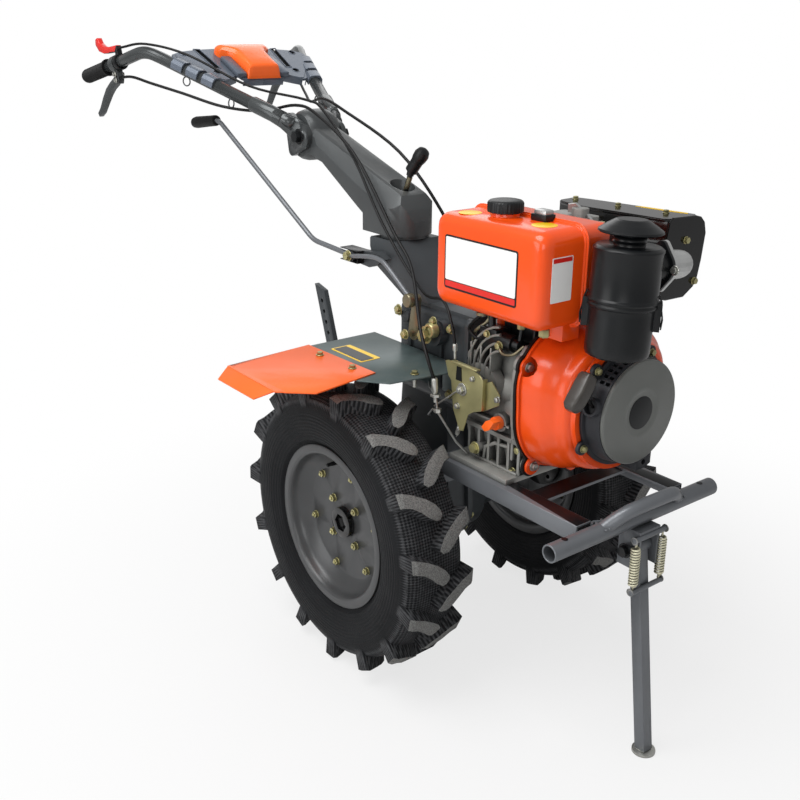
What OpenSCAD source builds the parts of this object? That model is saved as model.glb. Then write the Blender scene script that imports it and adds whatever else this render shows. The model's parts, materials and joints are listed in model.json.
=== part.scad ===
// Mini tiller (two-wheel walking tractor), stored parked on its two wheels and front stand.
// Frame: X forward, Y to the machine's left, Z up, floor at Z = 0.

/* [Wheels] */
// Tyre diameter over the lugs
tyre_d = 590; // [570:2:610]
// Tyre width over the sidewalls
tyre_w = 136; // [126:2:146]
// Distance between the middle planes of the two tyres
track = 516; // [506:2:530]
// Lugs on each half of a tyre
lug_count = 15; // [13:1:17]
// Height of the lugs above the casing
lug_h = 24; // [18:1:26]
// Rim diameter over its flanges
rim_d = 336; // [330:1:340]
// Rim width over its flanges
rim_w = 113; // [108:1:116]
// Depth of the wheel disc behind the rim's outer edge
disc_depth = 40; // [34:1:46]
// Outer diameter of the hub tube
hub_d = 62; // [58:1:68]
// Width across the flats of the hexagonal axle
axle_af = 32; // [28:1:34]

/* [Gearbox] */
// Width of the gearbox's upper half
gearbox_w = 180; // [170:2:184]
// Height of the gearbox's top face on tyres of the standard 590 mm diameter
gearbox_top = 716; // [708:1:722]
// Width of the pedestal that carries the column
pedestal_w = 112; // [100:2:120]

/* [Engine frame] */
// Offset of the rails, bumper, column and handlebar from the wheels' middle plane
frame_y = -30; // [-40:1:-20]
// Distance over the outer faces of the two rails
rail_span = 270; // [262:2:280]
// Width of a rail's top flange
rail_flange = 34; // [28:1:40]
// Height of the rails' top face on standard tyres
rail_top = 463; // [456:1:468]
// Diameter of the bumper tube
bumper_d = 31; // [28:1:36]
// Length of the bumper tube
bumper_l = 411; // [380:1:430]
// Distance of the bumper tube's axis in front of the axle
bumper_x = 521; // [510:1:530]

/* [Engine] */
// Height of the crankshaft on standard tyres
crank_z = 615; // [610:1:620]
// Radius of the fan shroud
shroud_r = 145; // [138:1:148]
// Radius of the recoil starter's cover
recoil_r = 92; // [86:1:98]
// Length of the fuel tank
tank_l = 264; // [240:2:280]
// Height of the fuel tank
tank_h = 160; // [150:1:170]
// Diameter of the air cleaner
cleaner_d = 108; // [100:1:112]

/* [Handlebar] */
// Diameter of the handlebar tubes
tube_d = 28; // [25:1:32]
// Distance of the grips' ends behind the axle
grip_end_x = 1137; // [1110:1:1150]
// Half the distance between the grips' ends
grip_end_y = 250; // [240:1:262]
// Diameter of the grips
grip_d = 34; // [30:1:38]

/* [Stand] */
// Height of the stand's pivot pin on standard tyres
stand_pivot_z = 395; // [390:1:400]
// Forward lean of the stand's leg
stand_lean = 8.2; // [6:0.1:10]
// Width of the stand's square leg
leg_w = 22; // [20:1:25]

/* [Fenders] */
// Clearance between the tyres and the fenders
fender_gap = 30; // [24:1:40]
// Distance of a fender's outer edge from the middle plane
fender_y = 447; // [430:1:460]
// Thickness of the fender sheets
sheet_t = 2.5; // [2:0.5:4]

/* [Hidden] */
function unit(v) = v / norm(v);
$fn = 48;
eps = 0.01;
gap = 0.3;            // seat gap between pieces of one body
run = 0.05;           // radial clearance of a running shaft

axle_z = 295;                      // height of the wheel shaft in the chassis's drawing
lift = tyre_d / 2 - axle_z;        // larger tyres carry the whole chassis higher
tyre_r = tyre_d / 2;
fender_z = axle_z + tyre_r + fender_gap;
tyre_y = track / 2;
case_r = tyre_r - lug_h;
rim_r = rim_d / 2;
rim_t = 4;
seat_r = rim_r - 18;
disc_z = rim_w / 2 - disc_depth;   // outer face of the disc, in the wheel's own frame
disc_t = 5;
disc_bolt_r = 108;                 // bolt circles of the disc and the hub
hub_bolt_r = 53.6;
journal_d = 40;
boss_end_y = 150;                  // outer end of the gearbox's axle bosses
gearbox_y = gearbox_w / 2;
gearbox_front_x = 150;
chain_case_r = 88;                 // lower case around the wheel shaft
seam_h = 12;                       // height of the case halves' seam flange
hitch_x = -102;                    // front face of the hitch's plate
journal_l = 60;
rail_t = 4;
rail_h = 32;
engine_rear_x = 158;
shroud_x = 336;                    // rear face of the fan shroud
gasket_t = 5;
recoil_x = 440;                    // rear face of the recoil housing
recoil_front_x = 482;
tank_front_gap = 7;                // between the fuel tank and the air cleaner
tank_z = 766;                      // underside of the fuel tank
tank_y0 = -185;
tank_y1 = -14;
tank_seam_y = -92;
cylinder_y = 50;                   // the cylinder stands beside the tank
cleaner_pos = [478, -72, 730];
cleaner_lean = 3;
cleaner_h = 176;
cleaner_port_z = 136;              // outlet stub up the air cleaner, and its reach from the axis
cleaner_port_l = 84;
tank_x = cleaner_pos[0] - cleaner_d / 2 - tank_front_gap - tank_l;

swivel_x = -130;
swivel_z = gearbox_top + 103;
turntable_h = 7;
tilt_x = -436;                     // the handlebar's tilt pivot
tilt_z = swivel_z + 174;
ear_y = 40;                        // the column's rear end fits between the handlebar's two ears
ear_t = 11;
stand_y = frame_y;
stand_pivot_x = 527;
leg_l = (stand_pivot_z + lift - 3) / cos(stand_lean);
foot_x = stand_pivot_x + (stand_pivot_z + lift) * tan(stand_lean);
bumper_z = rail_top - bumper_d / 2 - 1;
rail_front_x = bumper_x - bumper_d / 2 - gap;
bow_reach = 40;                    // rise and forward reach of the bow bar
foot_d = 42;
x_front = foot_x + foot_d / 2;
// the handlebar tubes from the tilt pivot to the grips' ends: X and Z from the pivot, Y from their middle plane
tube_rise = [[-19, -56, 24], [-44, -66, 34], [-376, -190, 154], [-406, -205, 165], [-430, -216, 166],
    [-460, -226, 157]];
tube_points = concat([for (p = tube_rise) p + [tilt_x, 0, tilt_z]],
    [[8 - grip_end_x, 1 - grip_end_y, tilt_z + 102]]);
grip_l = 130;
grip_dir = unit(tube_points[6] - tube_points[5]);
grip_start = tube_points[6] - (grip_l - 14) * grip_dir;
grip_r = grip_d / 2;
// grip outline along its length: [radius, distance from its inner end]
grip_profile = [[tube_d / 2 + gap, 0], [grip_r + 3, 0], [grip_r + 3, 5], [grip_r, 8], [grip_r, grip_l - 7],
    [grip_r - 2, grip_l - 3], [grip_r - 7, grip_l], [0, grip_l], [0, grip_l - 7], [tube_d / 2 + gap, grip_l - 7]];
// the lever's perch and the throttle's clamp on the bare tube before the grip
grip_down = [grip_dir[2] * grip_dir[0], grip_dir[2] * grip_dir[1], grip_dir[2] * grip_dir[2] - 1]
    / sqrt(1 - pow(grip_dir[2], 2));
perch_l = 20;
perch_gap = 30;                    // between the lever's perch and the grip
perch_pos = grip_start - (perch_l / 2 + perch_gap) * grip_dir;
clamp_l = 12;
clamp_pos = perch_pos - (perch_l / 2 + clamp_l / 2 + 6) * grip_dir;
// the panel between the tubes, in its own frame: X down its slope, Y to the left, Z up from its underside
panel_slope = 24.5;
panel_pos = [tilt_x - 244, frame_y, tilt_z + 108];
panel_t = 6;
panel_clamps = [216, 265, 312];    // clamps along the tubes
x_rear = grip_start[0] - max([for (p = grip_profile) -p[1] * grip_dir[0] + p[0] * sqrt(1 - pow(grip_dir[0], 2))]);
x_mid = (x_front + x_rear) / 2;

orange = "#f05a23";
light_orange = "#ff823c";
dark_grey = "#4a4e50";
mid_grey = "#6e7072";
black = "#1e1e20";
cast_metal = "#9a9a96";
zinc = "#b8a860";

// ---------- helpers ----------
// The chassis is drawn with X = 0 at the axle, then moved so that X = 0 is the middle and lifted onto its tyres.
module placed() translate([-x_mid, 0, lift]) children();
// 2D outline in (x, z), extruded along Y from y0 to y1
module side_slab(y0, y1) translate([0, y1, 0]) rotate([90, 0, 0]) linear_extrude(y1 - y0) children();
// 2D outline in (y, z), extruded along X from x0 to x1
module front_slab(x0, x1) translate([x0, 0, 0]) rotate([90, 0, 90]) linear_extrude(x1 - x0) children();
// Cylinder along Y from y0 to y1
module y_cyl(x, z, d, y0, y1) translate([x, y0, z]) rotate([-90, 0, 0]) cylinder(d = d, h = y1 - y0);
// Cylinder along X from x0 to x1
module x_cyl(y, z, d, x0, x1) translate([x0, y, z]) rotate([0, 90, 0]) cylinder(d = d, h = x1 - x0);
module box(lo, hi) translate(lo) cube(hi - lo);
// Straight round bar between two points
module bar(a, b, d) aimed(a, b) cylinder(d = d, h = norm(b - a));
// Round bar through a list of points, with round corners
module bent_bar(pts, d, cut = 18, sides = 12) swept(rounded(pts, cut), d, sides);
// Skin over a row of closed rings with as many points each, wound to the right seen along the row
module loft(rings) {
    n = len(rings[0]);
    m = len(rings);
    polyhedron([for (r = rings) each r], concat([[for (k = [0 : n - 1]) k]],
        [for (i = [0 : m - 2]) for (k = [0 : n - 1])
            [i * n + k, (i + 1) * n + k, (i + 1) * n + (k + 1) % n, i * n + (k + 1) % n]],
        [[for (k = [n - 1 : -1 : 0]) (m - 1) * n + k]]));
}
// Ring of a rounded rectangle: centre, half sizes and corner radius, as [u, v] pairs
function round_rect(c, h, r, steps = 5) = [for (q = [0 : 3]) for (i = [0 : steps])
    let (a = 90 * q + 90 * i / steps, sx = q == 0 || q == 3 ? 1 : -1, sy = q < 2 ? 1 : -1)
    [c[0] + sx * (h[0] - r) + r * cos(a), c[1] + sy * (h[1] - r) + r * sin(a)]];
module mirrored_y() { children(); mirror([0, 1, 0]) children(); }
function mirror_about(p, y) = [p[0], 2 * y - p[1], p[2]];
// A route with its corners rounded: each corner becomes a short parabola that starts "cut" before it
function rounded(pts, cut, steps = 4) = [
    pts[0],
    for (i = [1 : len(pts) - 2])
        let (p = pts[i], c = min(cut, norm(pts[i - 1] - p) * 0.48, norm(pts[i + 1] - p) * 0.48),
             a = p + c * unit(pts[i - 1] - p), b = p + c * unit(pts[i + 1] - p))
        each [for (k = [0 : steps]) let (t = k / steps) (1 - t) * (1 - t) * a + 2 * t * (1 - t) * p + t * t * b],
    pts[len(pts) - 1]];
function dir_at(p, i) = unit(p[min(i + 1, len(p) - 1)] - p[max(i - 1, 0)]);
// Round rod or cable swept along a route
module swept(pts, d, sides = 8) {
    n = len(pts);
    ring = [for (i = [0 : n - 1])
        let (t = dir_at(pts, i), u = unit(cross(t, abs(t[2]) > 0.9 ? [0, 1, 0] : [0, 0, 1])), w = cross(t, u))
        each [for (k = [0 : sides - 1]) pts[i] + d / 2 * (u * cos(360 * k / sides) + w * sin(360 * k / sides))]];
    polyhedron(ring, concat([[for (k = [0 : sides - 1]) k]],
        [for (i = [0 : n - 2]) for (k = [0 : sides - 1])
            [i * sides + k, (i + 1) * sides + k, (i + 1) * sides + (k + 1) % sides, i * sides + (k + 1) % sides]],
        [[for (k = [sides - 1 : -1 : 0]) (n - 1) * sides + k]]));
}
// Turn +Z to point from a to b, starting at a
module aimed(a, b) {
    v = b - a;
    translate(a) rotate([0, acos(v[2] / norm(v)), atan2(v[1], v[0])]) children();
}

// ---------- wheels, in their own frame: axis Z, outer side +Z ----------
// casing outline on one half: [radius, distance from the middle plane]
half_w = tyre_w / 2;
casing_out = [[seat_r + gap, rim_w / 2 - rim_t - gap], [rim_r + 3, rim_w / 2 - rim_t - gap],
    [rim_r + 10, half_w - 8], [rim_r + 38, half_w], [case_r - 30, half_w], [case_r - 10, half_w - 7],
    [case_r - 2, half_w - 22]];
casing_in = [[case_r - 14, half_w - 24], [case_r - 24, half_w - 14], [case_r - 40, half_w - 10],
    [rim_r + 38, half_w - 10], [rim_r + 12, half_w - 17], [seat_r + gap, rim_w / 2 - rim_t - 15]];
function flip(p) = [for (i = [len(p) - 1 : -1 : 0]) [p[i][0], -p[i][1]]];
module casing() rotate_extrude($fn = 96)
    polygon(concat(casing_out, [[case_r, 0]], flip(casing_out), flip(casing_in), casing_in));

// lug sections from the head to the sidewall:
// [along the tread, top across, top radius below the tip, base across, base radius below the casing,
//  half width at the top, half width at the base, direction of the lug]
lug_rows = [
    [-6, -6, 3, -8, 2, 5, 8, 45],
    [0, 1, 0, -1, 2, 11, 14, 45],
    [11, 12, 0, 12, 2, 14, 18, 45],
    [24, 26, 0, 26, 3, 13, 18, 52],
    [36, 44, 2, 44, 5, 12, 17, 65],
    [43, 61, 3, 57, 12, 13, 18, 80],
    [45, half_w + 2, 8, half_w - 4, 24, 14, 18, 90],
    [45, half_w + 1, 36, half_w - 2, 40, 10, 13, 90]
];
function lug_point(row, across, r, side, sgn, base) =
    let (w = row[base ? 6 : 5] * sgn,
         along = row[0] - w * sin(row[7]),
         a = along / tyre_r * 180 / PI)
    [r * cos(a), r * sin(a), side * (across + w * cos(row[7]))];
function lug_ring(row, side) = [
    lug_point(row, row[3], case_r - row[4], side, 1, true),
    lug_point(row, row[1], tyre_r - row[2], side, 1, false),
    lug_point(row, row[1], tyre_r - row[2], side, -1, false),
    lug_point(row, row[3], case_r - row[4], side, -1, true)];
module lug(side) {
    n = len(lug_rows);
    pts = [for (row = lug_rows) each lug_ring(row, side)];
    faces = concat([[3, 2, 1, 0]],
        [for (i = [0 : n - 2]) for (k = [0 : 3])
            [4 * i + k, 4 * i + (k + 1) % 4, 4 * i + 4 + (k + 1) % 4, 4 * i + 4 + k]],
        [[4 * n - 4, 4 * n - 3, 4 * n - 2, 4 * n - 1]]);
    polyhedron(pts, side > 0 ? [for (f = faces) [for (k = [len(f) - 1 : -1 : 0]) f[k]]] : faces);
}
module tyre() color(black) union() {
    casing();
    for (side = [-1, 1]) for (i = [0 : lug_count - 1])
        rotate([0, 0, (i + (side > 0 ? 0 : 0.5)) * 360 / lug_count]) lug(side);
}
// the rim's open face runs in an S from its edge down to the disc: [radius, depth below the edge]
rim_s = [[seat_r - 5, 15], [seat_r - 9, 21], [seat_r - 17, 29], [seat_r - 24, 35], [seat_r - 30, 39]];
module rim() color(dark_grey) difference() {
    e = rim_w / 2;
    rotate_extrude($fn = 96) polygon(concat(
        [[rim_r, e - 1], [rim_r, e - rim_t], [seat_r, e - rim_t], [seat_r, e - 19], [seat_r - 20, disc_z + 3],
         [seat_r - 20, -disc_z - 3], [seat_r, 19 - e], [seat_r, rim_t - e], [rim_r, rim_t - e], [rim_r, 1 - e],
         [rim_r - 3, -e], [seat_r + 3, 0.5 - e], [seat_r - 1, 3 - e], [seat_r - rim_t, 9 - e], [seat_r - rim_t, 19 - e],
         [seat_r - 20 - rim_t, -disc_z - 2], [seat_r - 20 - rim_t, disc_z - disc_t],
         [hub_d / 2 + gap, disc_z - disc_t], [hub_d / 2 + gap, disc_z], [rim_s[4][0] - 2, disc_z]],
        [for (i = [len(rim_s) - 1 : -1 : 0]) [rim_s[i][0], e - rim_s[i][1] * disc_depth / 40]],
        [[seat_r - 3.5, e - 8], [seat_r - 1, e - 3], [seat_r + 3, e - 0.5], [rim_r - 3, e]]));
    for (a = [0 : 60 : 300]) rotate([0, 0, a + 14]) translate([disc_bolt_r, 0, 0])
        cylinder(d = 10, h = 60, center = true);
    for (a = [0 : 90 : 270]) rotate([0, 0, a + 44]) translate([hub_bolt_r, 0, 0])
        cylinder(d = 10, h = 60, center = true);
}
// hub tube with its bolting flange, hexagonal axle and round journal
module hub() color(black) {
    inner = boss_end_y - tyre_y;   // outer end of the gearbox boss in the wheel's frame
    difference() {
        union() {
            translate([0, 0, -45]) cylinder(d = hub_d, h = disc_z + 45 + 12);
            translate([0, 0, disc_z - disc_t - gap - 8]) cylinder(d = 134, h = 8);
        }
        translate([0, 0, disc_z]) cylinder(d = axle_af / cos(30) + 1, h = 30, $fn = 6);
        for (a = [0 : 90 : 270]) rotate([0, 0, a + 44]) translate([hub_bolt_r, 0, 0])
            cylinder(d = 10, h = 60, center = true);
    }
    translate([0, 0, inner]) cylinder(d = axle_af / cos(30), h = disc_z - inner + 4, $fn = 6);
    translate([0, 0, inner - journal_l]) cylinder(d = journal_d, h = journal_l + 2);
}
module at_wheel(side) placed() if (side < 0) translate([0, -tyre_y, axle_z]) rotate([90, 0, 0]) children();
    else mirror([0, 1, 0]) translate([0, -tyre_y, axle_z]) rotate([90, 0, 0]) children();
module tyre_right() at_wheel(-1) tyre();
module tyre_left() at_wheel(1) tyre();
module rim_right() at_wheel(-1) rim();
module rim_left() at_wheel(1) rim();
module hub_right() at_wheel(-1) hub();
module hub_left() at_wheel(1) hub();

// ---------- chassis ----------
module gearbox_outline() {
    hull() {
        translate([0, axle_z]) circle(r = chain_case_r);
        translate([-66, 520]) square([140, 30]);
    }
    translate([-66, 520]) square([gearbox_front_x + 66, gearbox_top - 520]);
}
module gearbox() placed() color(dark_grey) difference() {
    union() {
        side_slab(frame_y - 50, frame_y + 50) gearbox_outline();
        side_slab(frame_y - 7, frame_y + 7) intersection() {
            offset(delta = seam_h) gearbox_outline();
            translate([-200, 100]) square([gearbox_front_x + 200, gearbox_top - 100]);
        }
        front_slab(-60, gearbox_front_x) offset(r = 14) offset(delta = -14)
            translate([-gearbox_y, 528]) square([gearbox_w, gearbox_top - 8 - 528]);
        front_slab(gearbox_front_x - 12, gearbox_front_x) offset(r = 14) offset(delta = -8)
            translate([-gearbox_y, 528]) square([gearbox_w, gearbox_top - 8 - 528]);
        for (x = [-30, 66]) box([x, -gearbox_y - 6, 560], [x + 8, gearbox_y + 6, gearbox_top - 22]);
        box([hitch_x + gap, frame_y - 40, axle_z - 40], [-60, frame_y + 40, axle_z + 50]);
        y_cyl(0, axle_z, 120, -118, 118);
        y_cyl(0, axle_z, 78, -boss_end_y, boss_end_y);
        y_cyl(lever_x, lever_z, 50, -gearbox_y - 22, 0);
        y_cyl(76, 683, 30, -gearbox_y - 14, 0);
        y_cyl(-34, 682, 24, -gearbox_y - 12, 0);
        x_cyl(0, crank_z, gearbox_w - 4, 100, engine_rear_x - gap);
    }
    for (s = [-1, 1]) mirror([0, s < 0 ? 1 : 0, 0])
        y_cyl(0, axle_z, journal_d + 2 * run, boss_end_y - journal_l - 2, boss_end_y + 1);
}
pedestal_y = pedestal_w / 2;
module pedestal() placed() color(dark_grey) {
    side_slab(frame_y - pedestal_y, frame_y + pedestal_y) polygon([
        [-172, swivel_z - gap - 4], [-168, swivel_z - gap], [-84, swivel_z - gap], [-72, swivel_z - 14],
        [20, gearbox_top], [-60, gearbox_top], [-157, swivel_z - 54], [-172, swivel_z - 22]]);
    // bracket that carries the side lever's pin
    side_slab(frame_y - pedestal_y - 18, frame_y - pedestal_y + eps) polygon([[-214, swivel_z - 56],
        [-214, swivel_z - 34], [-120, swivel_z - 24], [-100, swivel_z - 36], [-150, swivel_z - 60]]);
}
hitch_z = axle_z + 15;
bar_x = -385;                      // the depth bar where it passes the hitch
bar_lean = 18.3;
bar_y = 0;
bar_w = 34;
bar_t = 12;
module at_depth_bar() translate([bar_x, bar_y, hitch_z]) rotate([0, -bar_lean, 0]) children();
module hitch() placed() color(dark_grey) difference() {
    union() {
        box([-340, frame_y - 32, hitch_z - 21], [hitch_x - 1, frame_y + 32, hitch_z + 21]);
        box([-424, bar_y - 26, hitch_z - 40], [-340 + eps, bar_y + 24, hitch_z + 40]);
        box([hitch_x - 10, frame_y - 46, hitch_z - 52], [hitch_x, frame_y + 46, hitch_z + 42]);
    }
    at_depth_bar() cube([bar_w + 2 * gap, bar_t + 2 * gap, 200], center = true);
}
module depth_bar() placed() color(dark_grey) at_depth_bar() difference() {
    side_slab(-bar_t / 2, bar_t / 2) polygon([[-bar_w / 2, -170], [bar_w / 2, -170], [bar_w / 2, 330],
        [-bar_w / 2, 352]]);
    for (z = [308 : -26 : 204]) y_cyl(0, z, 10, -10, 10);
}
module engine_frame() placed() color(mid_grey) {
    for (s = [-1, 1]) {
        edge = frame_y + s * rail_span / 2;
        y0 = min(edge, edge - s * rail_flange);
        box([gearbox_front_x + gap, y0, rail_top - rail_t], [rail_front_x, y0 + rail_flange, rail_top]);
        box([gearbox_front_x + gap, s < 0 ? edge : edge - rail_t, rail_top - rail_h],
            [rail_front_x, s < 0 ? edge + rail_t : edge, rail_top]);
    }
    box([gearbox_front_x + gap, frame_y - rail_span / 2, rail_top - 60],
        [gearbox_front_x + 6, frame_y + rail_span / 2, rail_top]);
    box([360, frame_y - rail_span / 2, rail_top - 10], [400, frame_y + rail_span / 2, rail_top - 4]);
}
bow = [for (p = [[0, -92, 0], [1, -58, 1], [1, 58, 1], [0, 92, 0]])
    [bumper_x + p[0] * bow_reach, frame_y + 5 + p[1], bumper_z + 6 + p[2] * (bow_reach - 6)]];
module bumper() placed() color(mid_grey) difference() {
    union() {
        y_cyl(bumper_x, bumper_z, bumper_d, frame_y - 8 - bumper_l / 2, frame_y - 8 + bumper_l / 2);
        bent_bar(bow, bumper_d - 3);
    }
    y_cyl(bumper_x, bumper_z, bumper_d - 6, -400, 400);
    for (s = [-1, 1]) translate([bumper_x, frame_y - 8 + s * (bumper_l / 2 - 34), bumper_z])
        cylinder(d = 9, h = 60, center = true);
}
module stand_bracket() placed() color(mid_grey) {
    difference() {
        box([505, stand_y - 26, 361], [549, stand_y + 26, bumper_z - bumper_d / 2 + 3]);
        box([490, stand_y - 21, 350], [560, stand_y + 21, 418]);
        y_cyl(bumper_x, bumper_z, bumper_d + 2 * gap, -400, 400);
    }
    y_cyl(stand_pivot_x, stand_pivot_z, 12, stand_y - 34, stand_y + 34);
    for (s = [-1, 1]) translate([0, s > 0 ? stand_y + 26 : stand_y - 34, 0])
        y_cyl(stand_pivot_x, stand_pivot_z, 20, 0, 8);
    y_cyl(549, 424, 10, stand_y - 41, stand_y + 41);
}

// ---------- engine ----------
// shroud outline about the crankshaft: [angle from +Y, radius], read round as a smooth closed curve
volute = [[0, 162], [15, 175], [28, 178], [42, 164], [60, 146], [90, 138], [118, 146], [140, 155], [158, 156],
    [180, 147], [204, 152], [226, 153], [248, 143], [270, 136], [300, 136], [330, 146]];
function wrap(i) = (i + len(volute)) % len(volute);
function volute_point(i, t) =
    let (r = [for (k = [-1 : 2]) volute[wrap(i + k)][1]],
         a0 = volute[i][0], a1 = volute[wrap(i + 1)][0] + (i == len(volute) - 1 ? 360 : 0))
    [a0 + (a1 - a0) * t, (shroud_r / 145) * 0.5 * (2 * r[1] + (r[2] - r[0]) * t
        + (2 * r[0] - 5 * r[1] + 4 * r[2] - r[3]) * t * t + (3 * r[1] - r[0] - 3 * r[2] + r[3]) * t * t * t)];
volute_curve = [for (i = [0 : len(volute) - 1]) for (t = [0, 1 / 3, 2 / 3]) volute_point(i, t)];
function volute_ring(grow, to_circle, r) = [for (p = volute_curve)
    let (q = (1 - to_circle) * (p[1] + grow) + to_circle * r) [q * cos(p[0]), crank_z + q * sin(p[0])]];
shroud_front_r = recoil_r + 22;
// shroud sections: [distance in front of its rear face, growth over the outline, share of the front circle]
shroud_rows = [[4, -4, 0], [26, -5, 0], [44, -8, 0.02], [58, -13, 0.10], [70, -17, 0.26], [80, -14, 0.46],
    [88, -6, 0.70], [93, 0, 0.92], [95, 0, 1], [recoil_x - shroud_x, 0, 1]];
flange_tabs = [[-128, 68], [-104, -121], [104, -104], [0, -140]];
module flange_outline(grow) {
    polygon(volute_ring(grow, 0, 0));
    for (t = flange_tabs) translate([t[0], crank_z + t[1]]) circle(r = 17 + grow);
}
module fan_shroud() placed() color(orange) difference() {
    union() {
        front_slab(shroud_x, shroud_x + 5) flange_outline(0);
        loft([for (row = shroud_rows) [for (p = volute_ring(row[1], row[2], shroud_front_r))
            [shroud_x + row[0], p[0], p[1]]]]);
    }
    x_cyl(0, crank_z, 2 * recoil_r + 12, shroud_x + 40, recoil_x + 1);
    for (t = flange_tabs) x_cyl(t[0], crank_z + t[1], 9, shroud_x - 1, shroud_x + 12);
}
module shroud_gasket() placed() color(black) front_slab(shroud_x - gasket_t, shroud_x) difference() {
    flange_outline(4);
    offset(delta = -16) polygon(volute_ring(0, 0, 0));
    for (t = flange_tabs) translate([t[0], crank_z + t[1]]) circle(d = 9);
}
module crankcase() placed() color(cast_metal) difference() {
    union() {
        box([engine_rear_x + 14, frame_y - rail_span / 2 + 12, rail_top],
            [shroud_x - gasket_t - 6, frame_y + rail_span / 2 - 12, rail_top + 10]);
        front_slab(engine_rear_x + 20, shroud_x - gasket_t) polygon([[-104, rail_top + 9], [100, rail_top + 9],
            [106, 560], [96, 640], [84, 700], [-84, 700], [-96, 640], [-116, 600], [-116, 520]]);
        x_cyl(0, crank_z, 200, engine_rear_x, shroud_x - gasket_t);
        front_slab(shroud_x - gasket_t - 10, shroud_x - gasket_t) intersection() {
            flange_outline(0);
            translate([-200, rail_top + 9]) square([400, 714 - rail_top - 9]);
        }
        for (x = [192 : 26 : 296]) box([x, -126, rail_top + 9], [x + 6, -100, 536]);
        box([engine_rear_x + 20, -128, 532], [shroud_x - gasket_t - 9, -100, 540]);
        y_cyl(dipstick_x, dipstick_z, 34, -128, -110);
        y_cyl(222, 496, 20, -134, -110);
        y_cyl(216, 610, 90, -122, -100);
        y_cyl(300, 596, 26, -128, -100);
        y_cyl(190, 660, 30, -118, -80);
    }
    for (t = flange_tabs) x_cyl(t[0], crank_z + t[1], 9, shroud_x - 30, shroud_x + 1);
}
dipstick_x = 276;
dipstick_z = 562;
fin_n = 8;
fin_step = 11;
head_y = 56;
// cooling fins with a notch for the tank side, then the head and its rocker cover
module cylinder_node() placed() color(cast_metal) {
    translate([250, cylinder_y, crank_z + 100 + gap]) cylinder(d = 108, h = 92);
    for (i = [0 : fin_n - 1]) translate([250, cylinder_y, 718 + fin_step * i]) linear_extrude(3)
        polygon(round_rect([0, 0], [66, 60], 18));
    translate([250, cylinder_y, 718 + fin_step * fin_n]) linear_extrude(44)
        polygon(round_rect([0, 0], [60, head_y], 10));
    translate([255, cylinder_y - 10, 849]) linear_extrude(48) polygon(round_rect([0, 0], [50, 40], 12));
    translate([255, cylinder_y - 10, 896]) linear_extrude(14) polygon(round_rect([0, 0], [44, 34], 10));
    translate([280, cylinder_y - 10, 909]) cylinder(d = 30, h = 16);
}
recoil_ring_t = 6;
recoil_cover_t = 8;
slot_w = 6;
recoil_tabs = [[-76, 79], [59, 86], [-97, -53], [84, -70]];
slot_rows = [11, 22];              // both rows of cooling slots, from the housing's rear face
slot_l = 8;
rope_x = recoil_x + 17.5;
rope_angle = 165.7;                // of the starter rope's guide, from +Y
rope_floor = recoil_r + 1;         // radius at which the guide's hole ends
rope_dir = [0, cos(rope_angle), sin(rope_angle)];
rope_centre = [rope_x, 0, crank_z];
module recoil_housing() placed() color(black) difference() {
    union() {
        front_slab(recoil_x, recoil_x + recoil_ring_t) {
            translate([0, crank_z]) circle(r = recoil_r + 12);
            for (t = recoil_tabs) translate([t[0], crank_z + t[1]]) circle(r = 12);
        }
        translate([recoil_x + recoil_ring_t - eps, 0, crank_z]) rotate([0, 90, 0])
            cylinder(r1 = recoil_r + 5, r2 = recoil_r + 1,
                h = recoil_front_x - recoil_cover_t - recoil_x - recoil_ring_t + eps);
        front_slab(recoil_x, recoil_front_x - recoil_cover_t) polygon([[12, crank_z - 80], [49, crank_z - 80],
            [49, 508], [34, 502], [12, 502]]);
        // guide for the starter rope
        aimed(rope_centre, rope_centre + rope_dir) cylinder(d = 32, h = recoil_r + 13);
    }
    x_cyl(0, crank_z, 2 * recoil_r - 6, recoil_x - 1, recoil_front_x - recoil_cover_t - 3);
    for (a = [42 : 7.5 : 140]) for (x = slot_rows) translate([recoil_x + x, 0, crank_z]) rotate([a - 90, 0, 0])
        box([0, -slot_w / 2, recoil_r - 14], [slot_l, slot_w / 2, recoil_r + 10]);
    for (t = recoil_tabs) x_cyl(t[0], crank_z + t[1], 7, recoil_x - 1, recoil_x + 10);
    aimed(rope_centre, rope_centre + rope_dir) translate([0, 0, rope_floor]) cylinder(d = 24, h = 30);
    x_cyl(30, 514, 10, recoil_x - 1, recoil_front_x);
}
module recoil_cover() placed() color(mid_grey) translate([recoil_front_x - recoil_cover_t, 0, crank_z])
    rotate([0, 90, 0]) rotate_extrude() polygon([[0, 0], [recoil_r, 0], [recoil_r, recoil_cover_t - 3],
        [recoil_r - 1, recoil_cover_t - 1.4], [recoil_r - 4, recoil_cover_t], [50, recoil_cover_t],
        [46, recoil_cover_t + 1.5], [40, recoil_cover_t + 1.5], [36, recoil_cover_t], [0, recoil_cover_t]]);
handle_pos = [rope_x + 2, -132, crank_z + 60];
module recoil_handle() placed() color(black) union() {
    translate(handle_pos) rotate([27, 0, 0]) translate([0, 0, -38]) linear_extrude(76)
        polygon([[-16, -3], [-10, -9], [10, -9], [16, -3], [14, 8], [-14, 8]]);
    bar(rope_centre + (rope_floor + 2.7) * rope_dir, handle_pos, 9);
}
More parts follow.
